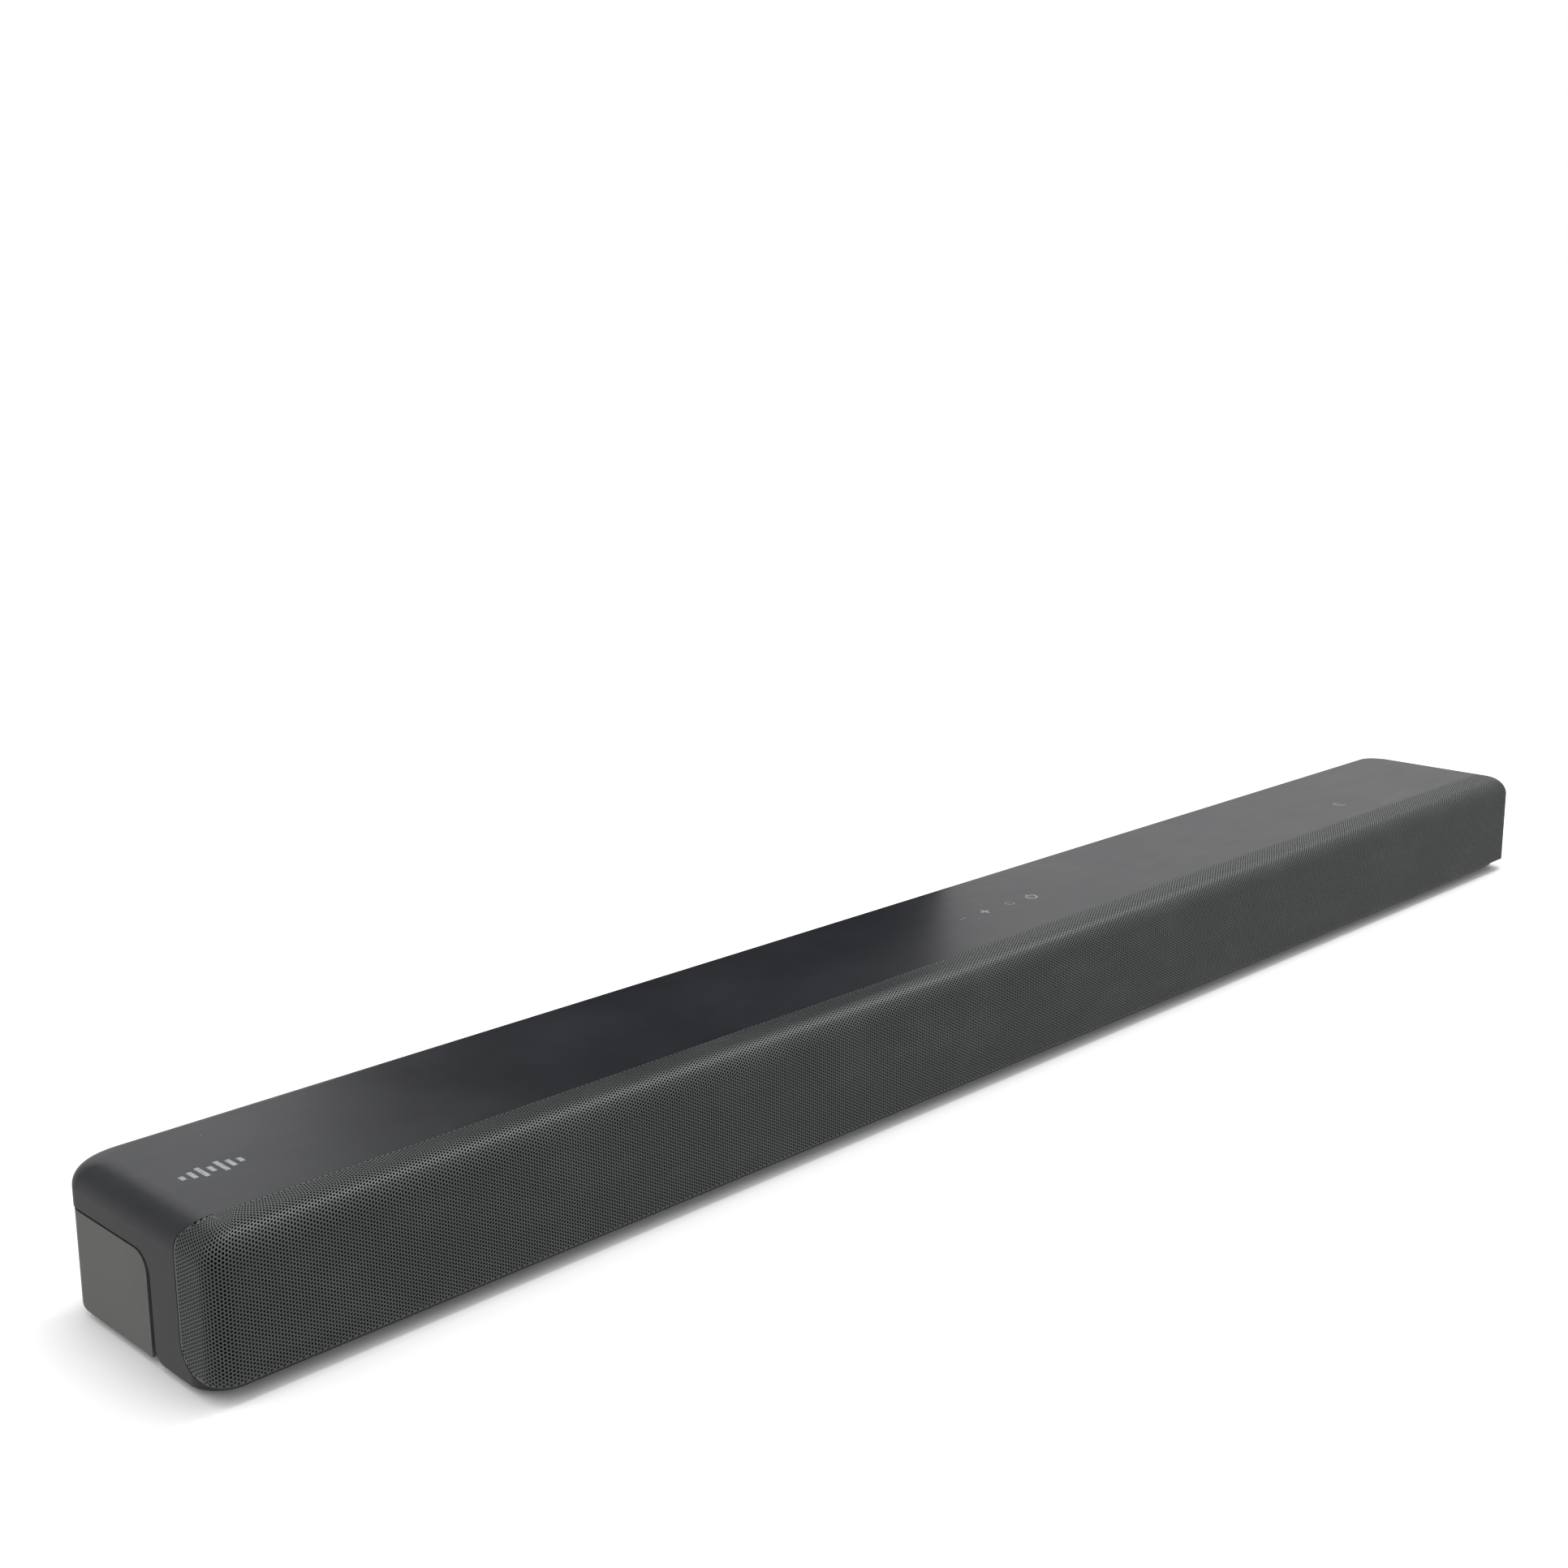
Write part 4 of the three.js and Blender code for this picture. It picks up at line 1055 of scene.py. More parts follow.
@dataclass
class Casing:
    """The top cover with its cheeks and skirt, and the cabinet with its base, end panels and rear wall."""

    form: BarForm
    wall: float = 1.8
    clear: float = 0.3
    base_z: float = 3.0
    base_wall: float = 2.4
    panel_inset: float = 0.3
    panel_wall: float = 2.7
    panel_foot_round: float = 11.0
    panel_top: float = 43.6
    panel_front: float = -6.4
    panel_round: float = 8.0
    panel_gap: float = 1.2
    cheek_gap: float = 3.2
    cheek_foot_round: float = 5.5
    skirt_setback: float = 6.0
    skirt_corner: float = 14.0
    skirt_top: float = 7.0
    grille_side: float = -29.0
    grille_top: float = -34.0
    grille_bottom: float = 7.5
    grille_top_corner: float = 6.0
    grille_bottom_corner: float = 10.0
    grille_gap: float = 0.55
    grille_top_gap: float = 0.2
    # The near-black lip behind the panel gaps, which paints shade into them:
    shade_lip_sunk: float = 2.6
    shade_lip_wall: float = 1.2
    shade_lip_reach: float = 5.0
    far: float = 700.0
    past: float = 200.0
    deep: float = -100.0
    edge_round: float = 0.3
    corner_steps: int = 10
    foot_steps: int = 8
    notches: tuple[tuple[float, float, float], ...] = (
        (180.0, 72.3, 8.2),
        (-212.0, 29.3, 8.2),
        (-405.0, 23.0, 16.0),
        (405.0, 23.0, 16.0),
    )

    def grille_zone(self, gap: float) -> list[Point2]:
        """The outline that the grille fills, seen from the end.

        Args:
            gap: how far the outline is grown.

        Returns:
            Points in (y, z).
        """
        side, top = self.grille_side + gap, self.grille_top + min(gap, self.grille_top_gap)
        low = self.grille_bottom - gap
        return rounded_outline(
            [
                (-self.past, low, 0),
                (side, low, self.grille_bottom_corner + gap),
                (side, self.form.top - self.form.end_round / 2, self.grille_top_corner + gap),
                (top, self.form.top, 0),
                (top, self.past, 0),
                (-self.past, self.past, 0),
            ],
            self.corner_steps,
        )

    def panel_zone(self, forward: float, upward: float) -> list[Point2]:
        """The outline that the end and rear panels fill, seen from the end.

        Args:
            forward: how far its front is moved forward.
            upward: how far its top is moved up.

        Returns:
            Points in (y, z).
        """
        front, top = self.panel_front - forward, self.panel_top + upward
        return rounded_outline(
            [
                (front, self.deep, 0),
                (self.past, self.deep, 0),
                (self.past, top, 0),
                (front, top, self.panel_round + upward),
            ],
            self.corner_steps,
        )

    def base_plan(self, inset: float) -> list[Point2]:
        """The base's outline in plan, flush with the ends and behind the grille at the front.

        Args:
            inset: how far it is set in.

        Returns:
            Points in (x, y).
        """
        end, rear = self.form.end - inset, self.form.rear - inset
        front = self.form.front + self.skirt_setback + inset
        corner, back = self.skirt_corner - inset, max(self.form.rear_corner - inset, 0.5)
        return rounded_outline(
            [(-end, front, corner), (end, front, corner), (end, rear, back), (-end, rear, back)],
            self.corner_steps,
        )

    def foot_tool(self, y: float, radius: float, low: float) -> bpy.types.Object:
        """A tool that rounds the lower rear corner of a solid.

        Args:
            y: where the solid ends.
            radius: the corner's radius.
            low: the height of its underside.

        Returns:
            The tool, along the whole bar.
        """
        spare = 1.0
        outline = [(y + spare, low + radius), (y + spare, low - spare), (y - radius, low - spare)]
        for k in range(self.foot_steps + 1):
            turn = math.radians(90 * k / self.foot_steps)
            outline.append((y - radius * (1 - math.sin(turn)), low + radius * (1 - math.cos(turn))))
        return along_x("foot_tool", outline, -self.far, self.far)

    def cover(self) -> bpy.types.Object:
        """The top cover: a thin shell with cheeks at its ends and a skirt under the grille."""
        far, deep, past = self.far, self.deep, self.past
        shell = self.form.solid("cover_shell", 0, self.base_z)
        combine(shell, "DIFFERENCE", [self.form.solid("room", self.wall, deep)])
        under = block("under", (-far, -past, deep), (far, self.panel_front, self.skirt_top))
        combine(shell, "DIFFERENCE", [under])
        skirt = along_z("skirt", self.base_plan(0), self.base_z, self.skirt_top)
        inner = along_z("inner", self.base_plan(self.wall), deep, -deep)
        back = block("back", (-far, self.panel_front, deep), (far, past, -deep))
        combine(skirt, "DIFFERENCE", [inner, back])
        combine(shell, "UNION", [skirt])
        zones = [
            along_x("grille_zone", self.grille_zone(self.grille_gap), -far, far),
            along_x("panel_zone", self.panel_zone(self.cheek_gap, self.panel_gap), -far, far),
            self.foot_tool(self.panel_front - self.cheek_gap, self.cheek_foot_round, self.base_z),
        ]
        combine(shell, "DIFFERENCE", zones)
        softened(shell, self.edge_round)
        return dress(shell, COVER, CHASSIS, Slot.COVER, ["top_cover"])

    def cabinet(self) -> bpy.types.Object:
        """The cabinet: a base with end panels and a rear wall, notched for sockets and wall plates."""
        far, floor = self.far, self.base_z + self.base_wall
        rear, radius = self.form.rear - self.panel_inset, self.panel_foot_round
        walls = self.form.solid("cabinet_shell", self.panel_inset, self.base_z)
        room = self.form.solid("room", self.panel_inset + self.panel_wall, floor)
        combine(room, "DIFFERENCE", [self.foot_tool(rear - self.panel_wall, radius - self.panel_wall, floor)])
        combine(walls, "DIFFERENCE", [room])
        combine(walls, "INTERSECT", [along_x("zone", self.panel_zone(0, 0), -far, far)])
        plan = self.base_plan(self.wall + self.clear)
        combine(walls, "UNION", [along_z("base", plan, self.base_z, floor)])
        combine(walls, "DIFFERENCE", [self.foot_tool(rear, radius, self.base_z)])
        self.notch(walls)
        softened(walls, self.edge_round)
        return dress(walls, PANEL, CHASSIS, Slot.CABINET, ["bottom_cabinet"])

    def shade_lip(self) -> bpy.types.Object:
        """A near-black lip behind the gap round the end and rear panels: painted shade that makes the gap read
        dark, since the real lip there has the cabinet's colour.
        """
        depth = self.wall + self.clear + self.shade_lip_sunk
        shade_lip = self.form.solid("panel_seal", depth, self.base_z + self.base_wall)
        combine(shade_lip, "DIFFERENCE", [self.form.solid("room", depth + self.shade_lip_wall, self.deep)])
        zone = self.panel_zone(self.shade_lip_reach, self.shade_lip_reach)
        reach = along_x("reach", zone, -self.far, self.far)
        combine(shade_lip, "INTERSECT", [reach])
        self.notch(shade_lip)
        softened(shade_lip, 0)
        return dress(shade_lip, GAP_SHADE_BLACK, CHASSIS, Slot.BLACK)

    def notch(self, walls: bpy.types.Object) -> None:
        """Open walls at the rear for the sockets' face plates and the wall plates.

        Args:
            walls: the piece that is cut.
        """
        depth = 3 * self.panel_wall
        for x, half, low in self.notches:
            near = (x - half, self.form.rear - depth, low)
            room = block("notch", near, (x + half, self.past, self.past))
            combine(walls, "DIFFERENCE", [room])


# ---- Grille -------------------------------------------------------------------------------------------


@dataclass
class Grille:
    """The perforated sheet that wraps the front, both ends and the top edge."""

    casing: Casing
    pitch: float = 1.5
    hole_share: float = 0.67
    sheet: float = 0.9
    least: float = 0.4
    pull: float = 6.0
    pull_run: float = 70.0
    sections: int = 8
    sharp: float = 40.0
    around: tuple[tuple[int, int], ...] = ((2, 0), (1, 1), (-1, 1), (-2, 0), (-1, -1), (1, -1))

    def __post_init__(self) -> None:
        """Work out the lengths along the sheet."""
        form = self.casing.form
        self.half_front = form.end - form.front_corner
        self.corner_run = form.front_corner * math.pi / 2
        self.side_run = self.casing.grille_side - (form.front + form.front_corner)
        self.half_run = self.half_front + self.corner_run + self.side_run
        self.wall_run = form.top - form.front_round - self.casing.grille_bottom
        self.arc_run = form.front_round * math.pi / 2
        self.flat_run = self.casing.grille_top - (form.front + form.front_round)
        self.seam = self.wall_run + self.arc_run
        self.whole_rise = self.seam + self.flat_run

    def foot(self, run: float) -> tuple[Point2, Point2, Point2, float]:
        """The upright line of the sheet at a distance along it.

        Args:
            run: the distance from the bar's middle, positive to the right.

        Returns:
            The place on the wall, where the round ends, where the sheet's rim is, and the round's radius.
        """
        form = self.casing.form
        side = 1.0 if run >= 0 else -1.0
        along = abs(run)
        rim_y = self.casing.grille_top
        front_q = form.front + form.front_round
        reach = form.end - form.end_round
        inner = reach - form.top_front_corner
        if along <= self.half_front:
            x = along * inner / self.half_front
            lead = max(0.0, 1 - (self.half_front - along) / self.pull_run)
            p, q, radius = (along, form.front), (x, front_q), form.front_round
            rim = (x - self.pull * lead**2, rim_y)
        elif along <= self.half_front + self.corner_run:
            share = (along - self.half_front) / self.corner_run
            p, q, radius = form.corner(True, False, share)
            first = inner - self.pull
            rim = (first + (reach - first) * share, rim_y)
        else:
            past = along - self.half_front - self.corner_run
            y = form.front + form.front_corner + past
            flat_y = front_q + form.top_front_corner
            lead = min(1.0, past / max(self.side_run, 1e-6))
            q_y = flat_y + (self.casing.grille_side - flat_y) * lead
            p, q, radius = (form.end, y), (reach, q_y), form.end_round
            rim = (reach, max(rim_y, q_y)) if past < self.pitch else q
        return (side * p[0], p[1]), (side * q[0], q[1]), (side * rim[0], rim[1]), radius

    def place(self, run: float, rise: float) -> Point3:
        """The place on the sheet's face.

        Args:
            run: the distance along the sheet from the bar's middle.
            rise: the distance up the sheet from its lower edge.

        Returns:
            The place in millimetres.
        """
        top = self.casing.form.top
        p, q, rim, radius = self.foot(run)
        if rise <= self.wall_run:
            low = self.casing.grille_bottom
            return p[0], p[1], low + rise * (top - radius - low) / self.wall_run
        if rise <= self.seam:
            turn = (rise - self.wall_run) / self.arc_run * math.pi / 2
            c, s = math.cos(turn), math.sin(turn)
            return p[0] + (q[0] - p[0]) * (1 - c), p[1] + (q[1] - p[1]) * (1 - c), top - radius * (1 - s)
        share = (rise - self.seam) / self.flat_run
        return q[0] + (rim[0] - q[0]) * share, q[1] + (rim[1] - q[1]) * share, top

    def onto_edge(self, spot: Point3, zone: Sequence[Point2]) -> Point3:
        """Move a place on an end of the bar to the nearest place on the sheet's edge.

        Args:
            spot: the place in millimetres.
            zone: the sheet's outline seen from the end.

        Returns:
            The place on the edge.
        """
        form = self.casing.form
        y, z, _ = nearest_on(zone, spot[1], min(spot[2], form.top))
        lift = z - (form.top - form.end_round)
        bulge = math.sqrt(max(form.end_round**2 - lift**2, 0.0)) if lift > 0 else form.end_round
        return math.copysign(form.end - form.end_round + bulge, spot[0]), y, z

    def cells(self) -> dict[tuple[int, int], float]:
        """Choose the cells of the hexagonal pattern that lie on the sheet.

        Returns:
            Each cell's distance to the sheet's edge, by its column and half-row.
        """
        zone = self.casing.grille_zone(0)
        column = self.pitch * math.sqrt(3) / 2
        start = self.half_front + self.corner_run
        chosen = {}
        reach = int(self.half_run / column) + 1
        for i in range(-reach, reach + 1):
            run = i * column
            for j in range(int(self.whole_rise / self.pitch) + 2):
                row = 2 * j + i % 2
                rise = row * self.pitch / 2
                past = abs(run) > start
                margin = -1.0 if past and rise > self.seam else min(rise, self.whole_rise - rise)
                if margin >= 0 and past:
                    _, y, z = self.place(run, rise)
                    _, _, apart = nearest_on(zone, y, z)
                    margin = min(margin, apart if inside(zone, y, z) else -1.0)
                if margin >= 0:
                    chosen[i, row] = margin
        return chosen

    def corners(self, chosen: dict[tuple[int, int], float]) -> dict[tuple[int, int], Point3]:
        """Place the cells' corners, with those round the outside moved onto the sheet's edge.

        Args:
            chosen: the cells, by column and half-row.

        Returns:
            The place of each corner, by its own column and half-row.
        """
        zone = self.casing.grille_zone(0)
        side = self.pitch / math.sqrt(3)
        start = self.half_front + self.corner_run
        shared = Counter((3 * i + a, row + b) for i, row in chosen for a, b in self.around)
        spots: dict[tuple[int, int], Point3] = {}
        for key, count in shared.items():
            run, rise = key[0] * side / 2, min(max(key[1] * self.pitch / 2, 0.0), self.whole_rise)
            if count == len(self.around) / 2:
                spots[key] = self.place(run, rise)
            elif abs(run) > start:
                on_seam = self.place(run, max(rise, self.seam))
                near_top = on_seam[1] < self.casing.grille_top + self.least
                on_top = rise > self.seam - self.pitch and near_top
                spots[key] = on_seam if on_top else self.onto_edge(self.place(run, rise), zone)
            elif min(rise, self.whole_rise - rise) < self.pitch:
                spots[key] = self.place(run, 0.0 if rise < self.pitch else self.whole_rise)
            else:
                spots[key] = self.place(run, rise)
        return spots

    def build(self) -> list[bpy.types.Object]:
        """Make the sheet in sections.

        Returns:
            The sections, dressed and tied.
        """
        chosen = self.cells()
        spots = self.corners(chosen)
        columns = sorted({i for i, _ in chosen})
        share = math.ceil(len(columns) / self.sections)
        perforator = Perforator()
        made = []
        for part in range(self.sections):
            wanted = set(columns[part * share : (part + 1) * share])
            cells = {cell: margin for cell, margin in chosen.items() if cell[0] in wanted}
            made.append(self.section(f"grille_sheet_{part + 1}", cells, spots, perforator))
        return made

    def section(
        self,
        name: str,
        cells: dict[tuple[int, int], float],
        spots: dict[tuple[int, int], Point3],
        perforator: Perforator,
    ) -> bpy.types.Object:
        """Make one section, open its holes and give it a thickness.

        Args:
            name: the section's name.
            cells: each cell's distance to the sheet's edge, by its column and half-row.
            spots: the place of each corner.
            perforator: the tree that opens the holes.

        Returns:
            The section, dressed and tied.
        """
        index: dict[tuple[int, int], int] = {}
        points: list[Point3] = []
        faces, opened = [], []
        for (i, row), margin in cells.items():
            keys = [(3 * i + a, row + b) for a, b in self.around]
            outline = [spots[key] for key in keys]
            if self.is_folded(outline):
                continue
            for key in keys:
                if key not in index:
                    index[key] = len(points)
                    points.append(spots[key])
            faces.append([index[key] for key in keys])
            opened.append(self.is_open(outline, margin))
        section = mesh_piece(name, points, faces)
        mark = section.data.attributes.new("perforated", "BOOLEAN", "FACE")
        mark.data.foreach_set("value", opened)
        perforator.run(section, {"Hole Share": self.hole_share, "Finish": GRILLE_PAINT.material()})
        thick = section.modifiers.new("sheet", "SOLIDIFY")
        thick.thickness = self.sheet * MM
        thick.offset = -1.0
        settled(section)
        section.data.shade_smooth()
        section.data.set_sharp_from_angle(angle=math.radians(self.sharp))
        self.unroll(section)
        return dress(section, GRILLE_PAINT, CHASSIS, Slot.GRILLE, ["front_grille"])

    def is_open(self, spots: Sequence[Point3], margin: float) -> bool:
        """Whether a cell gets a hole.

        Args:
            spots: its six corners.
            margin: its distance to the sheet's edge.

        Returns:
            False near the edge and where the pattern is pressed together.
        """
        if margin < self.pitch / 2:
            return False
        wide = math.dist(spots[0], spots[3]) / (2 * self.pitch / math.sqrt(3))
        tall = min(math.dist(spots[1], spots[5]), math.dist(spots[2], spots[4])) / self.pitch
        return min(wide, tall) > self.least

    @staticmethod
    def is_folded(spots: Sequence[Point3]) -> bool:
        """Whether a cell's outline turns back on itself."""
        middle = sum((Vector(spot) for spot in spots), Vector()) / len(spots)
        rays = [Vector(spot) - middle for spot in spots]
        turns = [rays[k - 1].cross(rays[k]) for k in range(len(rays))]
        facing = sum(turns, Vector())
        return min(turn.dot(facing) for turn in turns) < 0

    @staticmethod
    def unroll(section: bpy.types.Object) -> None:
        """Lay the section's map out along the bar and up its section, so that a bake needs no cuts.

        Args:
            section: one section of the sheet.
        """
        mesh = section.data
        places = np.empty(len(mesh.vertices) * 3)
        mesh.vertices.foreach_get("co", places)
        x, y, z = places.reshape(-1, 3).T
        flat = np.stack([x + np.sign(x.mean()) * (y - y.min()), z + (y - y.min())], 1)
        flat = (flat - flat.min(0)) / np.ptp(flat, axis=0).max()
        corners = np.empty(len(mesh.loops), np.int32)
        mesh.loops.foreach_get("vertex_index", corners)
        layer = mesh.uv_layers.new(name="OFBake")
        layer.uv.foreach_set("vector", flat[corners].astype(np.float32).ravel())


# ---- Drivers and inside -------------------------------------------------------------------------------


class Insides:
    """The frame's own pieces that keep their shape and get a finish."""

    finishes: dict[str, Finish] = {
        "speaker_box": BOX_PLASTIC,
        "basket": INNER_BLACK,
        "surround": RUBBER,
        "cone": CONE_PAPER,
        "dust_cap": CONE_PAPER,
        "voice_coil": COPPER,
        "spider": SPIDER_CLOTH,
        "pole_plate": STEEL,
        "magnet": FERRITE,
        "pole_yoke": STEEL,
        "front_baffle": INNER_BLACK,
        "display_window": SMOKED,
        "remote_receiver": SMOKED,
        "board": BOARD,
        "bay": INNER_BLACK,
        "optical_socket": INNER_BLACK,
        "optical_shutter": GREY_LENS,
        "mains_inlet": INNER_BLACK,
        "socket": NICKEL,
        "transformer": TAPE,
        "filter_capacitor": SLEEVE,
        "heat_sink": ALUMINIUM,
        "radio_module": NICKEL,
        "keyhole_plate": PHOSPHATE,
        "foot": RUBBER,
        "speaker_loom": LOOM,
    }

    def dress_all(self, nodes: dict[str, bpy.types.Object]) -> None:
        """Give every shown node its finish.

        Args:
            nodes: the frame's nodes by name.
        """
        for name, node in nodes.items():
            if node.hide_render:
                continue
            finish = next((f for key, f in self.finishes.items() if key in name), BOX_PLASTIC)
            node.data.materials.clear()
            node.data.materials.append(finish.material())
        LOG.info("finishes set on the frame's own pieces")


# ---- Marks, screws and sockets ------------------------------------------------------------------------


def joined(name: str, pieces: Sequence[bpy.types.Object]) -> bpy.types.Object:
    """Put separate closed pieces into one object.

    Args:
        name: the object's name.
        pieces: the pieces, which are used up.

    Returns:
        The object.
    """
    work = bmesh.new()
    for piece in pieces:
        work.from_mesh(piece.data)
        mesh = piece.data
        bpy.data.objects.remove(piece)
        bpy.data.meshes.remove(mesh)
    whole = bpy.data.objects.new(name, bpy.data.meshes.new(name))
    work.to_mesh(whole.data)
    work.free()
    bpy.context.scene.collection.objects.link(whole)
    return whole


def arc_band(x: float, y: float, radius: float, width: float, first: float, sweep: float) -> list[Point2]:
    """The outline of a curved stroke.

    Args:
        x: the arc's centre across.
        y: the arc's centre up.
        radius: the radius of the stroke's middle.
        width: the stroke's width.
        first: the angle where it starts, in degrees.
        sweep: how far it turns, in degrees.

    Returns:
        The outline's points.
    """
    steps = 24
    turns = [math.radians(first + sweep * k / steps) for k in range(steps + 1)]
    outer, inner = radius + width / 2, radius - width / 2
    points = [(x + outer * math.cos(t), y + outer * math.sin(t)) for t in turns]
    return points + [(x + inner * math.cos(t), y + inner * math.sin(t)) for t in reversed(turns)]


def bar_outline(x: float, y: float, wide: float, tall: float) -> list[Point2]:
    """The outline of a straight stroke round its middle."""
    a, b = wide / 2, tall / 2
    return [(x - a, y - b), (x + a, y - b), (x + a, y + b), (x - a, y + b)]


class Key(Enum):
    """The touch keys, each with the place of its mark along the bar."""

    LESS = -21.0
    MORE = -3.0
    SOURCE = 18.0
    POWER = 36.0


@dataclass
class Marks:
    """The printed marks on the top: level bars at the left, four touch keys and a pairing mark."""

    top: float
    proud: float = 0.02
    sunk: float = 0.1
    line: float = 0.9
    key_y: float = 3.0
    key_size: float = 6.0
    level_x: float = -457.0
    level_y: float = 1.2
    level_pitch: float = 4.0
    level_width: float = 2.0
    levels: tuple[float, ...] = (3.6, 6.4, 9.6, 5.2, 10.4, 6.8, 4.0)
    pair_x: float = 337.5
    pair_y: float = -10.5
    pair_radius: float = 3.4
    pair_line: float = 1.4
    pair_stem: float = 4.0

    def printed(self, name: str, outlines: Sequence[Sequence[Point2]], finish: Finish) -> bpy.types.Object:
        """Print outlines on the top.

        Args:
            name: the object's name.
            outlines: the outlines in (x, y).
            finish: the print's finish.

        Returns:
            The marks as one object.
        """
        low, high = self.top - self.sunk, self.top + self.proud
        strokes = [along_z("stroke", outline, low, high) for outline in outlines]
        return dress(joined(name, strokes), finish, CHASSIS, Slot.COVER)

    def glyph(self, key: Key) -> list[list[Point2]]:
        """The strokes of one key's mark.

        Args:
            key: the key.

        Returns:
            The strokes' outlines.
        """
        x, y, half = key.value, self.key_y, self.key_size / 2
        dash = bar_outline(x, y, self.key_size, self.line)
        if key is Key.LESS:
            return [dash]
        if key is Key.MORE:
            stem = self.key_size / 2 - self.line / 2
            apart = (half + self.line / 2) / 2
            return [dash, *(bar_outline(x, y + way * apart, self.line, stem) for way in (-1, 1))]
        if key is Key.SOURCE:
            frame = arc_band(x, y, half * 0.8, self.line, 40, 330)
            return [frame, circle_outline(x, y, self.line * 0.6, 16)]
        ring = arc_band(x, y - 0.4, half, self.line, 125, 290)
        return [ring, bar_outline(x, y + half * 0.7, self.line, half)]

    def build(self) -> None:
        """Print every mark."""
        first = self.level_x - self.level_pitch * (len(self.levels) - 1) / 2
        bars = []
        for k, tall in enumerate(self.levels):
            bars.append(bar_outline(first + k * self.level_pitch, self.level_y, self.level_width, tall))
        self.printed("level_mark", bars, PRINT)
        self.printed("bright_key_marks", self.glyph(Key.MORE) + self.glyph(Key.POWER), PRINT)
        self.printed("faint_key_marks", self.glyph(Key.LESS) + self.glyph(Key.SOURCE), FAINT_PRINT)
        pair = arc_band(self.pair_x, self.pair_y, self.pair_radius, self.pair_line, 60, 240)
        stem = bar_outline(self.pair_x, self.pair_y, self.pair_line, self.pair_stem)
        self.printed("pairing_mark", [pair, stem], FAINT_PRINT)


@dataclass
class Screws:
    """Cross-head screws, all copied from one head."""

    radius: float = 2.2
    head: float = 0.55
    cross: float = 0.7
    sides: int = 14
    base_z: float = 3.0
    bay_out: float = 3.2
    bay_z: float = 26.0
    base_xs: tuple[float, ...] = (-440.0, -250.0, -60.0, 60.0, 250.0, 440.0)
    base_ys: Point2 = (-26.0, 30.0)

    def head_piece(self) -> bpy.types.Object:
        """One screw's head, with its seat at the origin and its face up."""
        rings = []
        for share, z in ((1.0, -0.3), (1.0, self.head * 0.5), (0.86, self.head * 0.85), (0.6, self.head)):
            circle = circle_outline(0, 0, self.radius * share, self.sides)
            rings.append([(x, y, z) for x, y in circle])
        head = skin("screw_head", rings)
        reach, half, deep = self.radius * 0.62, self.cross / 2, self.head * 0.35
        slots = [
            block("slot", (-reach, -half, deep), (reach, half, 5.0)),
            block("slot", (-half, -reach, deep), (half, reach, 5.0)),
        ]
        return combine(head, "DIFFERENCE", slots)

    def place(self, name: str, spots: Sequence[Point3], turn: Point3, slot: Slot) -> bpy.types.Object:
        """Put screws on a face.

        Args:
            name: the object's name.
            spots: where the heads sit.
            turn: the turn of every head, as Euler angles in degrees.
            slot: the record's slot for them.

        Returns:
            The screws as one object.
        """
        head = self.head_piece()
        points = mesh_piece(name, spots, [])
        mark = points.data.attributes.new("turn", "FLOAT_VECTOR", "POINT")
        mark.data.foreach_set("vector", [math.radians(a) for _ in spots for a in turn])
        Scatter().run(points, {"Size": 1.0, "Piece": head, "Finish": DARK_STEEL.material()})
        mesh = head.data
        bpy.data.objects.remove(head)
        bpy.data.meshes.remove(mesh)
        shaded(points)
        return dress(points, DARK_STEEL, CHASSIS, slot)

    def build(self) -> None:
        """Put the screws under the base and beside the rear bays."""
        under = [(x, y, self.base_z) for x in self.base_xs for y in self.base_ys]
        self.place("base_screws", under, (180.0, 0.0, 0.0), Slot.STEEL)
        beside = []
        for bay in ("terminal_bay", "mains_bay"):
            low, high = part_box(bay)
            beside.append((low.x / MM + self.bay_out, high.y / MM, self.bay_z))
            beside.append((high.x / MM - self.bay_out, high.y / MM, self.bay_z))
        self.place("bay_screws", beside, (-90.0, 0.0, 0.0), Slot.STEEL)


@dataclass
class Contacts:
    """The tongues in the video and service sockets, with their gilt contacts."""

    mouth_setback: float = 1.2
    back_wall: float = 1.4
    contact: float = 0.08
    contact_share: float = 0.3
    side_room: float = 0.6
    short: float = 0.4
    edge_round: float = 0.12

    def tongue(self, node: str, wide: float, low: float, high: float, count: int, above: bool) -> None:
        """Fit one socket with its tongue.

        Args:
            node: the socket's node.
            wide: the tongue's width.
            low: its underside, from the socket's middle.
            high: its top, from the socket's middle.
            count: how many contacts it has.
            above: True for contacts on its top, False for its underside.
        """
        start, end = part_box(node)
        x, z = (start.x + end.x) / 2 / MM, (start.z + end.z) / 2 / MM
        back, front = start.y / MM + self.back_wall, end.y / MM - self.mouth_setback
        board = block(f"{node}_tongue", (x - wide / 2, back, z + low), (x + wide / 2, front, z + high))
        softened(board, self.edge_round)
        dress(board, INNER_BLACK, CHASSIS, Slot.BLACK)
        face = z + high if above else z + low
        pitch = wide / (count + self.side_room)
        strips = []
        for k in range(count):
            middle = x + (k - (count - 1) / 2) * pitch
            strips.append(
                block(
                    "strip",
                    (middle - pitch * self.contact_share, back, face - self.contact),
                    (middle + pitch * self.contact_share, front - self.short, face + self.contact),
                )
            )
        dress(joined(f"{node}_contacts", strips), GOLD, CHASSIS, Slot.SOCKET)

    def build(self) -> None:
        """Fit the three sockets."""
        self.tongue("video_out_socket", 11.0, -0.45, 0.45, 10, True)
        self.tongue("video_in_socket", 11.0, -0.45, 0.45, 10, True)
        self.tongue("service_socket", 10.6, 0.3, 1.7, 4, False)


# ---- Studio -------------------------------------------------------------------------------------------


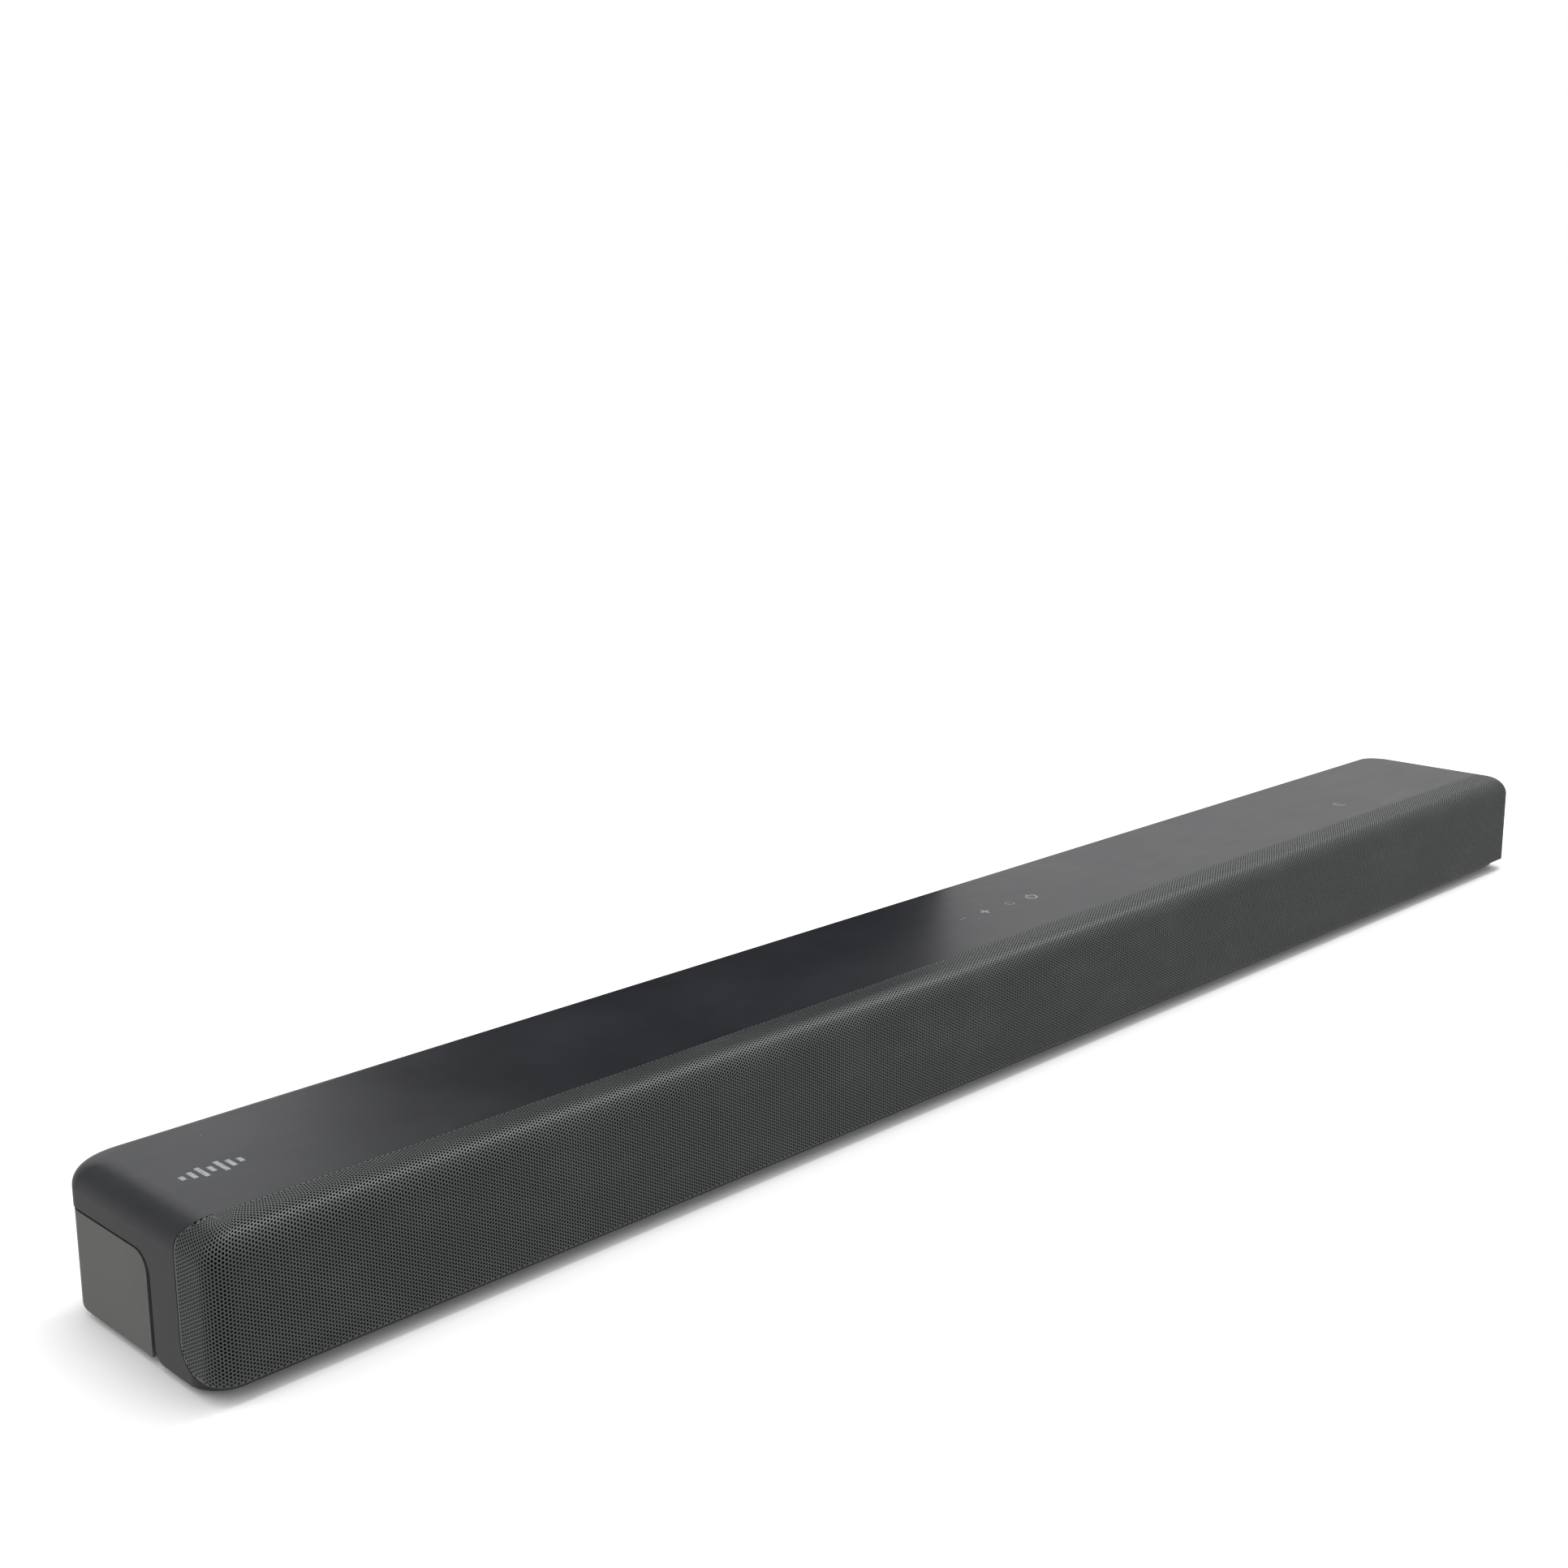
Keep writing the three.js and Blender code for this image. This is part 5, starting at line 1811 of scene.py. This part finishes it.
@dataclass
class Studio:
    """The floor, the light and the camera."""

    camera_place: Point3 = (-0.80035, -0.64308, 0.37381)
    camera_axes: tuple[Point3, Point3, Point3] = (
        (0.7045, -0.7097, -0.0053),
        (0.1579, 0.1495, 0.9761),
        (-0.6919, -0.6885, 0.2173),
    )
    lens: float = 46.207
    sensor: float = 36.0
    shift: Point2 = (-0.00156, -0.01511)
    floor_half: float = 30.0
    dim: float = 0.66
    bright: float = 1.42
    rise_from: float = -0.1
    rise_to: float = 0.9
    strip_place: Point3 = (1.1, -0.12, 2.1)
    strip_aim: Point3 = (1.1, -0.12, 0.0)
    strip_size: Point2 = (3.4, 0.5)
    strip_power: float = 34.0
    cards: tuple[tuple[Point3, Point3, Finish], ...] = (
        ((-113.0, 102.0, 0.0), (79.0, 479.0, 387.0), CARD_BLACK),
        ((-2400.0, 1500.0, 100.0), (-500.0, 1520.0, 3600.0), CARD_GREY),
    )

    def camera(self) -> bpy.types.Object:
        """Place the camera."""
        data = bpy.data.cameras.new("camera")
        data.sensor_width, data.lens = self.sensor, self.lens
        data.shift_x, data.shift_y = self.shift
        data.clip_start, data.clip_end = 0.01, 50.0
        camera = bpy.data.objects.new("camera", data)
        turn = Matrix(self.camera_axes).transposed().to_4x4()
        camera.matrix_world = Matrix.Translation(self.camera_place) @ turn
        bpy.context.scene.collection.objects.link(camera)
        bpy.context.scene.camera = camera
        return camera

    def floor(self) -> None:
        """Lay the pale floor."""
        half = self.floor_half / MM
        floor = mesh_piece(
            "floor", [(-half, -half, 0), (half, -half, 0), (half, half, 0), (-half, half, 0)], [(0, 1, 2, 3)]
        )
        floor.data.materials.append(FLOOR_PAPER.material())
        floor.visible_glossy = False

    def lamp(self, name: str, place: Point3, aim: Point3, size: Point2, power: float) -> None:
        """Hang one soft light.

        Args:
            name: the light's name.
            place: where it is, in metres.
            aim: the place that it faces.
            size: its width and height.
            power: its power in watts.
        """
        data = bpy.data.lights.new(name, "AREA")
        data.shape, data.size, data.size_y, data.energy = "RECTANGLE", *size, power
        lamp = bpy.data.objects.new(name, data)
        lamp.location = place
        direction = Vector(aim) - Vector(place)
        lamp.rotation_euler = direction.to_track_quat("-Z", "Y").to_euler()
        bpy.context.scene.collection.objects.link(lamp)

    def world(self) -> None:
        """Fill the room with soft light that is stronger from above, behind a white backdrop."""
        world = bpy.data.worlds.new("room")
        world.use_nodes = True
        nodes, links = world.node_tree.nodes, world.node_tree.links
        nodes.clear()
        place = nodes.new("ShaderNodeTexCoord")
        height = nodes.new("ShaderNodeSeparateXYZ")
        links.new(place.outputs["Generated"], height.inputs[0])
        level = nodes.new("ShaderNodeMapRange")
        level.interpolation_type = "SMOOTHSTEP"
        limits = {"From Min": self.rise_from, "From Max": self.rise_to}
        for key, value in {**limits, "To Min": self.dim, "To Max": self.bright}.items():
            level.inputs[key].default_value = value
        links.new(height.outputs["Z"], level.inputs["Value"])
        glow = nodes.new("ShaderNodeBackground")
        links.new(level.outputs[0], glow.inputs["Strength"])
        white = nodes.new("ShaderNodeBackground")
        seen = nodes.new("ShaderNodeLightPath")
        both = nodes.new("ShaderNodeMixShader")
        links.new(seen.outputs["Is Camera Ray"], both.inputs[0])
        links.new(glow.outputs[0], both.inputs[1])
        links.new(white.outputs[0], both.inputs[2])
        out = nodes.new("ShaderNodeOutputWorld")
        links.new(both.outputs[0], out.inputs["Surface"])
        for node in (glow, white):
            node.inputs["Color"].default_value = (1.0, 1.0, 1.0, 1.0)
        bpy.context.scene.world = world
        bpy.context.scene.view_settings.view_transform = "Standard"

    def dark_cards(self) -> None:
        """Stand dark cards behind the bar, which show only as soft dark reflections on its gloss."""
        for number, (low, high, finish) in enumerate(self.cards, 1):
            card = block(f"dark_card_{number}", low, high)
            card.data.materials.append(finish.material())
            for rays in ("visible_camera", "visible_diffuse", "visible_shadow", "visible_transmission"):
                setattr(card, rays, False)

    def light(self) -> None:
        """Light the room evenly, with a long soft light above the bar's front edge."""
        self.world()
        self.dark_cards()
        self.lamp("strip", self.strip_place, self.strip_aim, self.strip_size, self.strip_power)


def main() -> None:
    """Build every assembly in order."""
    logging.basicConfig(level=logging.INFO, format="%(name)s: %(message)s")
    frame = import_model()
    studio = Studio()
    studio.camera()
    form = BarForm.of_frame()
    casing = Casing(form)
    casing.cover()
    casing.cabinet()
    # The black lip behind the panel gaps is painted shade.
    casing.shade_lip()
    Grille(casing).build()
    Marks(form.top).build()
    Screws().build()
    Contacts().build()
    Insides().dress_all(frame["nodes"])
    studio.floor()
    studio.light()
    bpy.context.view_layer.update()


if __name__ == "__main__":
    main()
